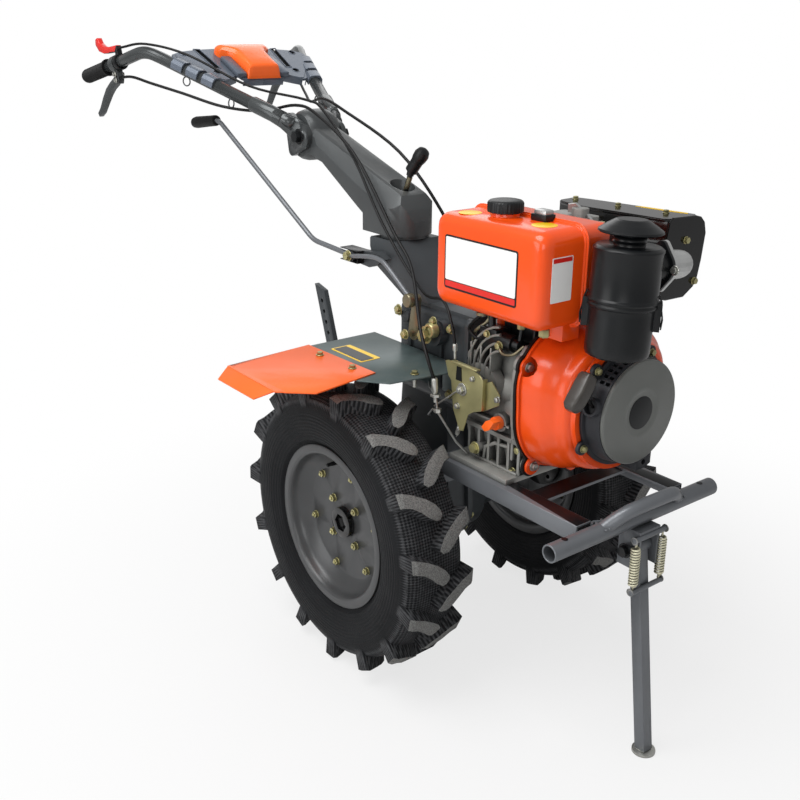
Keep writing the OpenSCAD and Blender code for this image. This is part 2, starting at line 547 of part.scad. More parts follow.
// The tank is two pressed halves joined at a raised seam: [place along Y, inset, corner radius]
tank_rows = [[tank_y1, 17, 14], [tank_y1 - 2, 10, 17], [tank_y1 - 7, 4.5, 20], [tank_y1 - 15, 1.2, 22],
    [tank_y1 - 26, 0, 24], [tank_y0 + 26, 0, 24], [tank_y0 + 15, 1.2, 22], [tank_y0 + 7, 4.5, 20],
    [tank_y0 + 2, 10, 17], [tank_y0, 17, 14]];
function tank_ring(inset, r) = round_rect([tank_x + tank_l / 2, tank_z + tank_h / 2],
    [tank_l / 2 - inset, tank_h / 2 - inset], r);
filler_x = 262;
filler_y = -122;
filler_d = 50;
module fuel_tank() placed() color(orange) {
    loft([for (row = tank_rows) [for (p = tank_ring(row[1], row[2])) [p[0], row[0], p[1]]]]);
    side_slab(tank_seam_y - 4, tank_seam_y + 4) polygon(tank_ring(-3, 26));
    side_slab(tank_seam_y - 1.5, tank_seam_y + 1.5) polygon(tank_ring(-6, 28));
    box([tank_x + tank_l - 60, -112, shroud_top + gap], [tank_x + tank_l - 20, -72, tank_z + 4]);
    box([tank_x + 55, -80, 700 + gap], [tank_x + 75, -60, tank_z + 4]);
    translate([filler_x, filler_y, tank_z + tank_h - 2]) cylinder(d = filler_d, h = 8);
}
// the shroud's shoulder under the tank's foot
shroud_top = crank_z + shroud_r - 22.6;
module fuel_cap() placed() color(black) translate([filler_x, filler_y, tank_z + tank_h + 6 + gap])
    rotate_extrude() polygon([[0, 0], [30, 0], [31, 2], [31, 16], [29, 19], [24, 21], [0, 21]]);
module at_cleaner() placed() translate(cleaner_pos) rotate([-cleaner_lean, 0, 0]) children();
cleaner_r = cleaner_d / 2;
cleaner_seam = 88;
// the cup and the body of the air cleaner with the double bead of their seam, read up the outline
cleaner_profile = [[0, 0], [cleaner_r - 9, 0], [cleaner_r - 4, 3], [cleaner_r - 2.5, 8],
    [cleaner_r - 2, cleaner_seam - 8], [cleaner_r + 1, cleaner_seam - 6], [cleaner_r + 2, cleaner_seam - 3],
    [cleaner_r, cleaner_seam], [cleaner_r + 2, cleaner_seam + 3], [cleaner_r + 2, cleaner_seam + 6],
    [cleaner_r, cleaner_seam + 9], [cleaner_r, cleaner_h - 9], [cleaner_r + 1, cleaner_h - 7],
    [cleaner_r + 1, cleaner_h - 4], [cleaner_r - 4, cleaner_h], [25, cleaner_h], [25, cleaner_h + 4],
    [27, cleaner_h + 6], [25, cleaner_h + 8], [25, cleaner_h + 11], [27, cleaner_h + 13],
    [25, cleaner_h + 15], [0, cleaner_h + 15]];
module diamond(d, reach) hull() {
    circle(d = d);
    for (s = [-1, 1]) translate([0, s * reach]) circle(r = 9);
}
diamond_reach = 33;
module air_cleaner() at_cleaner() color(black) {
    rotate_extrude() polygon(cleaner_profile);
    translate([0, 30, cleaner_port_z]) rotate([-90, 0, 0]) cylinder(d = 46, h = cleaner_port_l - 34);
    translate([0, cleaner_port_l, cleaner_port_z]) rotate([90, 0, 0]) linear_extrude(6) diamond(58, diamond_reach);
    for (a = [39, 219]) rotate([0, 0, a]) box([cleaner_r - 4, -11, 46], [cleaner_r + 7, 11, cleaner_seam + 4]);
    box([-46, 6, cleaner_h - 3], [-18, 30, cleaner_h + 9]);
}
elbow_start = cleaner_pos + [0, cleaner_port_l * cos(cleaner_lean) + cleaner_port_z * sin(cleaner_lean),
    cleaner_port_z * cos(cleaner_lean) - cleaner_port_l * sin(cleaner_lean)];
module air_cleaner_cap() at_cleaner() color(black) translate([0, 0, cleaner_h + 15 + gap]) rotate_extrude()
    polygon([[0, 0], [24, 0], [24, 4], [48, 4], [51, 6], [50, 9], [38, 17], [28, 23], [24, 25], [0, 25]]);
port_pos = [310, 84, 838];
module intake_elbow() placed() color(cast_metal) {
    bent_bar([elbow_start + [0, 4, 0], elbow_start + [0, 62, -4], [372, 84, 838], port_pos + [gap, 0, 0]], 46, 52, 20);
    x_cyl(port_pos[1], port_pos[2], 60, port_pos[0] + gap, port_pos[0] + 8);
    translate(elbow_start) rotate([-90 - cleaner_lean, 0, 0]) translate([0, 0, gap]) linear_extrude(7)
        diamond(58, diamond_reach);
}
// the muffler and its shield stand turned a little outwards at the rear
muffler_turn = 10;
module at_muffler() placed() translate([400, 180, 0]) rotate([0, 0, -muffler_turn]) children();
module muffler() {
    at_muffler() color(dark_grey) front_slab(-222, -22)
        polygon(round_rect([-7, 832], [40, 47], 26, 6));
    // studs that hold the shield's front plate
    at_muffler() color(dark_grey) for (p = [[-26, 858], [10, 812]]) x_cyl(p[0], p[1], 14, -23, -shield_t - gap);
    placed() color(dark_grey) y_cyl(250, 826, 40, cylinder_y + head_y + gap, 175);
}
shield_t = 3;
module shield_outline() polygon([[-72, 889], [-58, 909], [34, 909], [54, 893], [52, 800], [10, 764], [-58, 764],
    [-74, 784]]);
module muffler_shield() at_muffler() color(black) difference() {
    union() {
        front_slab(-30, 0) shield_outline();
        front_slab(-252, -29) polygon([[-24, 898], [-14, 909], [40, 909], [58, 893], [58, 770], [52, 764],
            [40, 764], [-24, 764]]);
    }
    front_slab(-31, -shield_t) polygon([[-80, 886], [-54, 904], [32, 904], [50, 890], [48, 802], [8, 768],
        [-80, 768]]);
    front_slab(-255, -28) polygon([[-60, 760], [-60, 905], [38, 905], [54, 891], [54, 775], [50, 760]]);
    for (x = [-222 : 24 : -54]) for (z = [800, 832, 864]) y_cyl(x, z, 14, 40, 70);
}
// governor plates on the engine's right side, each with its folded edge
module governor_plate() placed() color(zinc) {
    side_slab(-150, -147) polygon([[155, 647], [165, 700], [172, 700], [178, 654], [213, 651], [242, 645],
        [248, 627], [234, 572], [193, 524], [188, 526], [171, 547], [173, 596]]);
    box([244, -150, 590], [247, -128 - gap, 632]);
    side_slab(-134, -131) polygon([[242, 634], [270, 639], [295, 615], [289, 599], [250, 580], [242, 582]]);
    y_cyl(214, 606, 26, -147 - eps, -122 - gap);
    y_cyl(205, 640, 16, -156, -150 + eps);
}
module injection_pump() placed() color(black) {
    box([210, -122, 688], [252, -86.4 - gap, 724]);
    x_cyl(-108, 706, 30, 252 - eps, 286);
    x_cyl(-108, 706, 20, 286 - eps, 300);
    bar([296, -108, 708], [300, -106, 748], 8);
    bar([224, -106, 722], [222, -106, 750], 14);
}
module dipstick() placed() color(orange) {
    y_cyl(dipstick_x, dipstick_z, 24, -140, -128 - gap);
    side_slab(-158, -140 + eps) polygon([[262, 556], [270, 550], [282, 556], [292, 572], [284, 576], [272, 570]]);
}

// ---------- fenders ----------
fender_rear_x = -143;
fender_front_x = 131;
module fender_plate() {
    translate([0, 0, fender_z]) linear_extrude(sheet_t) polygon([[fender_rear_x, -300], [84, -300], [fender_front_x,
        -262], [150, -136], [150, -gearbox_y - 6 - gap], [fender_rear_x, -gearbox_y - 6 - gap]]);
    box([-55, -gearbox_y - 6 - gap - sheet_t, fender_z - 60], [60, -gearbox_y - 6 - gap, fender_z + eps]);
    box([82, -gearbox_y - 6 - gap - sheet_t, fender_z - 60], [140, -gearbox_y - 6 - gap, fender_z + eps]);
}
module fender_plates() placed() color(dark_grey) mirrored_y() fender_plate();
flap_w = 34;                       // outer flap, bent down
flap_angle = 30;
module fender_panel() translate([0, 0, fender_z + sheet_t]) {
    linear_extrude(sheet_t) polygon([[-143, -259], [73, -252], [100, -398], [62, -fender_y + 7],
        [-123, -fender_y - 3]]);
    translate([0, -fender_y - 3, sheet_t]) rotate([flap_angle, 0, 0]) translate([0, -flap_w, -sheet_t])
        linear_extrude(sheet_t) polygon([[-123, flap_w + 0.6], [-110, 0], [20, 0], [48, flap_w + 0.6]]);
}
module fender_panels() placed() color(light_orange) mirrored_y() fender_panel();

// ---------- controls on the chassis ----------
side_lever_y = frame_y - pedestal_y - 18;
module side_lever() placed() color(dark_grey) {
    bent_bar([[-198, side_lever_y - 9, 777], [-218, side_lever_y - 11, 778], [-330, -122, 788], [-684, -146, 1010],
        [-712, -148, 1012]], 11);
    bar([-702, -147, 1011], [-795, -154, 1000], 24);
    y_cyl(-198, 777, 26, side_lever_y - 14, side_lever_y - gap);
}
lever_x = 64;
lever_z = fender_z + 52;            // the shift shaft, clear above the fender
module shift_linkage() placed() color(zinc) {
    side_slab(-gearbox_y - 31, -gearbox_y - 25) hull() {
        translate([24, lever_z + 60]) circle(r = 9);
        translate([17, lever_z - 8]) circle(r = 15);
    }
    bar([17, -gearbox_y - gap, lever_z - 8], [17, -gearbox_y - 38, lever_z - 8], 14);
    bar([24, -gearbox_y - 24, lever_z + 60], [24, -gearbox_y - 36, lever_z + 60], 20);
}

// ---------- stand ----------
module at_stand() placed() translate([stand_pivot_x, stand_y, stand_pivot_z]) rotate([0, -stand_lean, 0]) children();
module stand_leg() color(mid_grey) {
    at_stand() difference() {
        union() {
            box([-leg_w / 2, -leg_w / 2, -leg_l + 2], [leg_w / 2, leg_w / 2, 0]);
            y_cyl(0, 0, 26, -20, 20);
            y_cyl(leg_w / 2 + 4, -72, 9, -41, 41);
        }
        y_cyl(0, 0, 12 + 2 * run, -30, 30);
    }
    placed() translate([foot_x, stand_y, -lift]) cylinder(d = foot_d, h = 5);
}
module stand_springs() placed() color(cast_metal) for (s = [-1, 1])
    bar([549, stand_y + s * 34, 418.7], [550, stand_y + s * 34, 332.2], 12);

// ---------- column ----------
// hood outline from the side, from the swivel: the ridge falls towards the round nose
hood_side = [[-70, 7], [55, 7], [56, 27], [46, 61], [30, 86], [-41, 119], [-303, 206], [-330, 216], [-372, 180],
    [-352, 132], [-300, 139], [-230, 127], [-70, 42]];
ridge_slope = 18.4;
module column_hood() placed() color(dark_grey) translate([swivel_x, frame_y, swivel_z]) difference() {
    union() {
        intersection() {
            side_slab(-60, 60) polygon(hood_side);
            translate([0, 0, -1]) linear_extrude(300) union() {
                circle(r = 56);
                polygon([[0, 56], [-90, 54], [-252, 46], [-268, ear_y - gap], [-340, ear_y - gap],
                    [-340, gap - ear_y], [-268, gap - ear_y], [-252, -46], [-90, -54], [0, -56]]);
            }
            translate([30, 0, 87]) rotate([0, ridge_slope, 0]) front_slab(-500, 100)
                polygon([[-26, 2], [26, 2], [31, 0], [58, -34], [60, -40], [60, -300], [-60, -300], [-60, -40],
                    [-58, -34], [-31, 0]]);
        }
        // round end that carries the tilt pin
        translate([tilt_x - swivel_x - 22, 0, tilt_z - swivel_z]) rotate([90, 0, 0]) rotate_extrude()
            polygon([[0, gap - ear_y], [46, gap - ear_y], [52, -30], [55, -18], [55, 18], [52, 30],
                [46, ear_y - gap], [0, ear_y - gap]]);
        cylinder(d = 100, h = turntable_h + 2);
    }
    translate([-7, 0, 62]) cylinder(d = 50, h = 80);
    y_cyl(tilt_x - swivel_x, tilt_z - swivel_z, 16 + 2 * run, -200, 200);
}
module gear_lever() placed() color(black) translate([swivel_x, frame_y, swivel_z]) {
    bar([-7, 0, 62 + 6 * gap], [14, 4, 128], 10);
    bar([12, 4, 122], [16, 5, 136], 15);
    bar([15, 5, 132], [42, 10, 166], 25);
}

// ---------- handlebar ----------
function from_mid(p) = [p[0], frame_y + p[1], p[2]];
right_tube = rounded([for (p = tube_points) from_mid(p)], 24);
left_tube = [for (p = right_tube) mirror_about(p, frame_y)];
module tilt_ear() side_slab(-ear_y - ear_t, -ear_y) hull() {
    translate([tilt_x, tilt_z]) circle(r = 29);
    translate([tilt_x - 38, tilt_z - 31]) circle(r = 14);
    translate([tilt_x - 46, tilt_z + 30]) circle(r = 17);
}
module handlebar_tubes() placed() color(dark_grey) {
    difference() {
        union() {
            swept(right_tube, tube_d, 16);
            swept(left_tube, tube_d, 16);
            translate([0, frame_y, 0]) mirrored_y() {
                tilt_ear();
                // sleeve where the tube enters its ear, and the eye that guides the cable
                bar(tube_points[1], tube_points[1] + 0.24 * (tube_points[2] - tube_points[1]), tube_d + 5);
                translate(tube_points[1] + 0.42 * (tube_points[2] - tube_points[1])
                    - [0, 0, tube_d / 2 + 9]) rotate([90, 0, 115]) rotate_extrude($fn = 16)
                    translate([10, 0]) circle(d = 3.2, $fn = 6);
            }
        }
        side_slab(frame_y - ear_y, frame_y + ear_y) translate([tilt_x - 100, tilt_z - 60]) square([170, 130]);
    }
    y_cyl(tilt_x, tilt_z, 16, frame_y - ear_y - ear_t - 3, frame_y + ear_y + ear_t + 3);
    for (s = [-1, 1]) translate([0, frame_y + s * (ear_y + ear_t + 2), 0])
        y_cyl(tilt_x, tilt_z, 27, -3, 3);
}
module at_panel() placed() translate(panel_pos) rotate([0, panel_slope, 0]) children();
// right half of the panel from above, with its two slots and two small holes
panel_half = [[-146, 0], [-148, -78], [-112, -182], [45, -128], [10, -66], [10, 0]];
module control_panel() color(mid_grey) difference() {
    union() {
        at_panel() mirrored_y() {
            linear_extrude(panel_t) difference() {
                polygon(panel_half);
                polygon([[-141, -110], [-137, -96], [-56, -84], [-60, -98]]);
                translate([-120, -150]) circle(d = 15);
                translate([-26, -108]) circle(d = 15);
            }
            // edges turned down at the front and the rear
            translate([0, 0, -12]) linear_extrude(14) {
                polygon([[45, -128], [10, -66], [10, 0], [6, 0], [6, -66], [40, -126]]);
                polygon([[-146, 0], [-148, -78], [-122, -158], [-118, -156], [-144, -78], [-142, 0]]);
            }
        }
        placed() translate([0, frame_y, 0]) mirrored_y() aimed(tube_points[1], tube_points[2])
            for (z = panel_clamps) translate([0, 0, z]) rotate([0, 0, 45])
                cube([tube_d + 7, tube_d + 7, 34], center = true);
    }
    placed() translate([0, frame_y, 0]) mirrored_y() bar(tube_points[1], tube_points[2], tube_d + 2 * gap);
}
// cover sections in the panel's frame: [place down the slope, half width at the foot, half width on top, height]
cover_rows = [[-144, 56, 48, 2], [-139, 61, 50, 12], [-128, 63, 48, 17], [-86, 60, 44, 23], [-50, 48, 38, 27],
    [-14, 46, 36, 29], [-6, 46, 36, 27], [4, 47, 40, 13], [9, 48, 42, 3]];
module panel_cover() at_panel() color(light_orange) loft([for (r = cover_rows) let (z = panel_t + gap)
    [[r[0], r[1], z], [r[0], r[1] - 1, z + 0.55 * r[3]], [r[0], r[2] + 3, z + 0.88 * r[3]],
     [r[0], r[2] - 6, z + r[3]], [r[0], 6 - r[2], z + r[3]], [r[0], -r[2] - 3, z + 0.88 * r[3]],
     [r[0], 1 - r[1], z + 0.55 * r[3]], [r[0], -r[1], z]]]);
module grips() placed() color(black) translate([0, frame_y, 0]) mirrored_y()
    aimed(grip_start, grip_start + grip_dir) rotate_extrude() polygon(grip_profile);
// in the perch's frame X points down from the tube and Z along the grip
module hand_lever() aimed(perch_pos, perch_pos + grip_dir) difference() {
    union() {
        translate([0, 0, -perch_l / 2]) cylinder(d = tube_d + 10, h = perch_l);
        side_slab(-8, 8) polygon([[6, -perch_l / 2], [40, -perch_l / 2], [48, -4], [44, perch_l / 2],
            [6, perch_l / 2]]);
        side_slab(-6, 6) polygon([[24, 6], [30, 18], [36, 40], [46, 66], [64, 92], [84, 116], [94, 134],
            [104, 130], [98, 110], [80, 82], [64, 56], [54, 34], [49, 14], [44, 2]]);
    }
    cylinder(d = tube_d + 2 * gap, h = 3 * perch_l, center = true);
}
module hand_levers() placed() color(dark_grey) translate([0, frame_y, 0]) mirrored_y() hand_lever();
module throttle_lever() placed() color("red") translate([0, frame_y, 0])
    aimed(clamp_pos, clamp_pos + grip_dir) difference() {
        union() {
            translate([0, 0, -clamp_l / 2]) cylinder(d = tube_d + 10, h = clamp_l);
            box([-38, -7, -clamp_l / 2], [-8, 7, clamp_l / 2]);
            side_slab(-7, 7) polygon([[-38, -2], [-24, 4], [-28, 34], [-32, 62], [-42, 84], [-60, 96], [-72, 92],
                [-74, 82], [-60, 76], [-48, 60], [-42, 34]]);
        }
        cylinder(d = tube_d + 2 * gap, h = 60, center = true);
    }

// ---------- cables ----------
clamp_exit = clamp_pos - 31 * grip_down - (clamp_l / 2 + gap) * grip_dir;
throttle_route = rounded([from_mid(clamp_exit), from_mid(clamp_exit - 14 * grip_dir), [-840, -249, 1180],
    [-735, -190, 1156], [-660, -144, 1116], [-590, -104, 1088], [-500, -70, 1076], [-440, -62, 1070], [-371, -66, 1052],
    [-290, -62, 1008], [-230, -84, 968], [-171, -98, 912], [-106, -102, 852], [-36, -108, 796], [36, -116, 751],
    [90, -122, 728], [135, -138, 700], [155, -156, 664]], 26, 1);
clutch_start = perch_pos + 34 * grip_down - (perch_l / 2 + 2 * gap) * grip_dir;
clutch_route = rounded([from_mid(clutch_start), from_mid(clutch_start - 16 * grip_dir), [-830, -246, 1089],
    [-740, -208, 1074], [-660, -172, 1054], [-622, -150, 1052], [-600, -136, 1046],
    [-556, -98, 1034], [-512, -84, 1052], [-450, -84, 1058], [-362, -88, 1044], [-300, -84, 1026], [-220, -88, 978], [-155, -94, 908],
    [-71, -104, 846], [8, -118, 789], [60, -150, 735], [100, -170, 703], [150, -188, 650], [161, -181, 612]], 26, 1);
brake_start = [clutch_start[0], -clutch_start[1], clutch_start[2]];
brake_route = rounded([from_mid(brake_start), from_mid([brake_start[0] - 16 * grip_dir[0],
    brake_start[1] + 16 * grip_dir[1], brake_start[2] - 16 * grip_dir[2]]), [-840, 176, 1078], [-740, 124, 1060],
    [-650, 84, 1040], [-570, 34, 1062], [-500, 22, 1066], [-430, 12, 1054], [-300, 10, 1008], [-220, 26, 974],
    [-158, 38, 926], [-104, 48, 862], [-70, 58, 790], [-30, 66, 740], [0, 70, 720]], 26, 1);
module control_cables() placed() color(black) {
    swept(throttle_route, 6);
    swept(clutch_route, 7);
    swept(brake_route, 7);
}

// ---------- tree ----------
gearbox();
pedestal();
hitch();
depth_bar();
engine_frame();
bumper();
stand_bracket();
crankcase();
cylinder_node();  // cylinder
fan_shroud();
shroud_gasket();
recoil_housing();
recoil_cover();
recoil_handle();
fuel_tank();
fuel_cap();
air_cleaner();
air_cleaner_cap();
intake_elbow();
muffler();
muffler_shield();
governor_plate();
injection_pump();
dipstick();
fender_plates();
fender_panels();
side_lever();
shift_linkage();
stand_leg();
stand_springs();
column_hood();
gear_lever();
handlebar_tubes();
control_panel();
panel_cover();
grips();
hand_levers();
throttle_lever();
control_cables();
tyre_right();
rim_right();
hub_right();
tyre_left();
rim_left();
hub_left();
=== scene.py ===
import json
import logging
import math
from dataclasses import dataclass
from enum import Enum
from typing import Callable, Iterable, Sequence, Union

import bmesh
import bpy
from mathutils import Matrix, Vector

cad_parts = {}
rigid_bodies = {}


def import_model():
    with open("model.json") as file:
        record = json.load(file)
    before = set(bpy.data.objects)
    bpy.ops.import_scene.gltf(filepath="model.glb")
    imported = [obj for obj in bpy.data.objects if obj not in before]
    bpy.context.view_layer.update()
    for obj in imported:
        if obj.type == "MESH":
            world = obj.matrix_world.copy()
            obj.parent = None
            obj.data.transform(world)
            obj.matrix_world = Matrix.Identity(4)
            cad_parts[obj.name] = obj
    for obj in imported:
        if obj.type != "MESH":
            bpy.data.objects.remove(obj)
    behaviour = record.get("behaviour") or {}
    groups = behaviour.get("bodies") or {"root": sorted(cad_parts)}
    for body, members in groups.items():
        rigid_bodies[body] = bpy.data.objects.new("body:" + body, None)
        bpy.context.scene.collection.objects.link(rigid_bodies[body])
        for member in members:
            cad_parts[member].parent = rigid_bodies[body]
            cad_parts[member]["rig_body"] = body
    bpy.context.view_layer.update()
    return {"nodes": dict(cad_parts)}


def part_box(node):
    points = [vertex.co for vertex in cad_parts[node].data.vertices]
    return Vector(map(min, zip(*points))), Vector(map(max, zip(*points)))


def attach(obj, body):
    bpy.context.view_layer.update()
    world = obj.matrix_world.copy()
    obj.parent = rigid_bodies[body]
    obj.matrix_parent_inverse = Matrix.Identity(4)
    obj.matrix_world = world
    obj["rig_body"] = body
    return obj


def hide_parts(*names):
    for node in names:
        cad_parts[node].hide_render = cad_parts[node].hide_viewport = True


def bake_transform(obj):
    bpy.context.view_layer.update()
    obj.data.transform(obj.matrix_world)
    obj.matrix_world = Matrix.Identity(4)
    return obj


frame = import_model()
log = logging.getLogger("tiller")

Pair = tuple[float, float]
Triple = tuple[float, float, float]
Value = Union["Sock", float]
MM = 0.001
SIDES = (-1, 1)  # right and left
RIGHT, LEFT, FRONT, UP = (Vector(axis) for axis in ((0, -1, 0), (0, 1, 0), (1, 0, 0), (0, 0, 1)))
AXLE = sum(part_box("tyre_right"), Vector()) / 2  # middle of the right tyre
WELD = 2e-6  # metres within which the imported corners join
FLAT = math.radians(0.4)  # faces that turn less are one face
SHARP = math.radians(28)  # edges that turn more are rounded
CORNER = 0.03  # metres over which an inner corner takes painted shade


def at(x: float, y: float, z: float) -> Vector:
    """Place in metres of a point in millimetres from the wheels' axle, the middle plane and the ground."""
    return Vector((AXLE.x + x * MM, y * MM, z * MM))


def laid(point: Triple, degrees: float = 0.0, axis: str = "X") -> Matrix:
    """Placement at a point from the axle, turned about one axis."""
    return Matrix.Translation(at(*point)) @ turned(degrees, axis)


def turned(degrees: float, axis: str) -> Matrix:
    """Turn about one axis."""
    return Matrix.Rotation(math.radians(degrees), 4, axis)


def lifted(height: float) -> Matrix:
    """Shift along a placement's own Z, in millimetres."""
    return Matrix.Translation((0, 0, height * MM))


def circle(count: int) -> list[Pair]:
    """Cosines and sines of evenly spaced angles round a full turn."""
    return [(math.cos(2 * math.pi * k / count), math.sin(2 * math.pi * k / count)) for k in range(count)]


def between(rows: Sequence[float | Vector], t: float) -> float | Vector:
    """Smooth value a share t of the way from the second of four values to the third."""
    a, b, c, d = rows
    return 0.5 * (2 * b + (c - a) * t + (2 * a - 5 * b + 4 * c - d) * t * t + (3 * b - a - 3 * c + d) * t ** 3)


def route(points: Sequence[Triple], steps: int = 1) -> list[Vector]:
    """Points in metres of a route given in millimetres from the axle.

    Args:
        points: the points it passes.
        steps: steps of a smooth curve between two of them, or 1 for straight runs.

    Returns:
        The route.
    """
    p = [at(*q) for q in points]
    p = [2 * p[0] - p[1], *p, 2 * p[-1] - p[-2]]
    return [between(p[i - 1:i + 3], s / steps) for i in range(1, len(p) - 2) for s in range(steps)] + [p[-2]]


def rounded_outline(width: float, height: float, radius: float, rise: float = 0.0) -> list[Pair]:
    """Corners of a rounded rectangle in millimetres.

    Args:
        width: whole width.
        height: whole height.
        radius: corner radius.
        rise: its middle's distance above the plate's own.

    Returns:
        The outline.
    """
    steps, out = 5, []
    for quarter, (sx, sy) in enumerate(((1, 1), (-1, 1), (-1, -1), (1, -1))):
        for i in range(steps + 1):
            a = math.radians(90 * quarter + 90 * i / steps)
            out.append((sx * (width / 2 - radius) + radius * math.cos(a),
                        sy * (height / 2 - radius) + radius * math.sin(a) + rise))
    return out


def srgb(red: int, green: int, blue: int) -> Triple:
    """Linear colour of an 8-bit display colour."""
    return tuple(c / 12.92 if c <= 0.04045 else ((c + 0.055) / 1.055) ** 2.4
                 for c in (red / 255, green / 255, blue / 255))


def shade(colour: Triple, factor: float) -> Triple:
    """A colour made lighter or darker."""
    return tuple(min(1.0, c * factor) for c in colour)


class Tone(Enum):
    """Base colours of the machine's finishes."""

    TANK_ORANGE = srgb(240, 80, 18)
    COVER_ORANGE = srgb(252, 104, 30)
    COLUMN_GREY = srgb(74, 77, 78)
    CHASSIS_GREY = srgb(60, 64, 67)
    SHEET_GREY = srgb(78, 92, 92)
    RAIL_GREY = srgb(106, 109, 113)
    RIM_GREY = srgb(74, 75, 76)
    PANEL_GREY = srgb(98, 106, 118)
    BLACK = srgb(16, 18, 20)
    DEEP_BLACK = srgb(7, 7, 8)
    HOUSING_GREY = srgb(50, 51, 55)
    DISC_GREY = srgb(104, 106, 103)
    RUBBER = srgb(22, 23, 25)
    DRY_EARTH = srgb(84, 85, 87)
    DUST = srgb(178, 172, 160)
    GRIP_BROWN = srgb(62, 58, 54)
    WORN_RUBBER = srgb(122, 122, 120)
    ALUMINIUM = srgb(158, 158, 154)
    BRIGHT_ALUMINIUM = srgb(196, 197, 196)
    YELLOW_ZINC = srgb(186, 180, 132)
    ZINC = srgb(196, 196, 190)
    BRASS = srgb(138, 130, 106)
    STEEL = srgb(150, 150, 148)
    CREAM = srgb(222, 218, 190)
    WHITE = srgb(238, 238, 236)
    SIGNAL_RED = srgb(214, 36, 28)
    YELLOW = srgb(240, 196, 22)


class Sock:
    """A node socket whose operators add Math nodes."""

    def __init__(self, graph: "Graph", socket: bpy.types.NodeSocket) -> None:
        """Wraps one output socket of a graph."""
        self.graph, self.socket = graph, socket

    def math(self, operation: str, *values: Value) -> "Sock":
        """Output of a Math node on the given values."""
        return self.graph.node("ShaderNodeMath", {"operation": operation}, dict(enumerate(values)))

    def __add__(self, other: Value) -> "Sock":
        """Sum."""
        return self.math("ADD", self, other)

    def __sub__(self, other: Value) -> "Sock":
        """Difference."""
        return self.math("SUBTRACT", self, other)

    def __rsub__(self, other: float) -> "Sock":
        """Reflected difference."""
        return self.math("SUBTRACT", other, self)

    def __mul__(self, other: Value) -> "Sock":
        """Product."""
        return self.math("MULTIPLY", self, other)

    __radd__, __rmul__ = __add__, __mul__

    def sine(self) -> "Sock":
        """Sine."""
        return self.math("SINE", self)

    def ramp(self, low: float, high: float) -> "Sock":
        """Smooth step from 0 at low to 1 at high."""
        return self.graph.node("ShaderNodeMapRange", {"interpolation_type": "SMOOTHSTEP"},
                               {0: self, 1: low, 2: high, 3: 0.0, 4: 1.0})


class Graph:
    """The node tree of a material or of the world."""

    def __init__(self, owner: bpy.types.Material | bpy.types.World) -> None:
        """Turns on the nodes and finds the shader.

        Args:
            owner: the material or world.
        """
        owner.use_nodes = True
        self.tree = owner.node_tree
        self.shader = self.tree.nodes.get("Principled BSDF") or self.tree.nodes["Background"]

    def node(self, kind: str, settings: dict | None = None, inputs: dict | None = None, output: int | str = 0) -> Sock:
        """Adds a node.

        Args:
            kind: the node's type.
            settings: attributes that are set first.
            inputs: values or links of its sockets, by name or place.
            output: the output that is returned.

        Returns:
            The output socket, wrapped.
        """
        made = self.tree.nodes.new(kind)
        for key, value in (settings or {}).items():
            setattr(made, key, value)
        for key, value in (inputs or {}).items():
            self.feed(made.inputs[key], value)
        return Sock(self, made.outputs[output])

    def feed(self, socket: bpy.types.NodeSocket, value: Value | Triple) -> None:
        """Links or sets one input socket.

        Args:
            socket: the input.
            value: what it is linked with or set to.
        """
        if isinstance(value, Sock):
            self.tree.links.new(value.socket, socket)
        else:
            socket.default_value = (*value, 1.0) if socket.type == "RGBA" else value

    def place(self) -> Sock:
        """Object coordinates, which stay with the piece."""
        return self.node("ShaderNodeTexCoord", output="Object")

    def axes(self, vector: Sock) -> tuple[Sock, ...]:
        """The three parts of a vector."""
        parts = self.node("ShaderNodeSeparateXYZ", None, {0: vector})
        return tuple(Sock(self, part) for part in parts.socket.node.outputs)

    def noise(self, scale: float, detail: float = 3.0, roughness: float = 0.55) -> Sock:
        """Noise from 0 to 1 over the piece."""
        return self.node("ShaderNodeTexNoise", None,
                         {"Vector": self.place(), "Scale": scale, "Detail": detail, "Roughness": roughness})

    def blend(self, share: Value, low: Sock | Triple, high: Sock | Triple) -> Sock:
        """Mix of two colours; a share of 0 gives the first."""
        return self.node("ShaderNodeMix", {"data_type": "RGBA"}, {0: share, 6: low, 7: high}, 2)

    def bump(self, height: Sock, depth: float, strength: float = 1.0) -> None:
        """Feeds a height, 1 of which is a depth in millimetres, to the shader's normal."""
        self.set(Normal=self.node("ShaderNodeBump", None,
                                  {"Strength": strength, "Distance": depth * MM, "Height": height}))

    def set(self, **values: Value | Triple) -> None:
        """Sets the shader's sockets; an underscore stands for a space."""
        for key, value in values.items():
            self.feed(self.shader.inputs[key.replace("_", " ")], value)


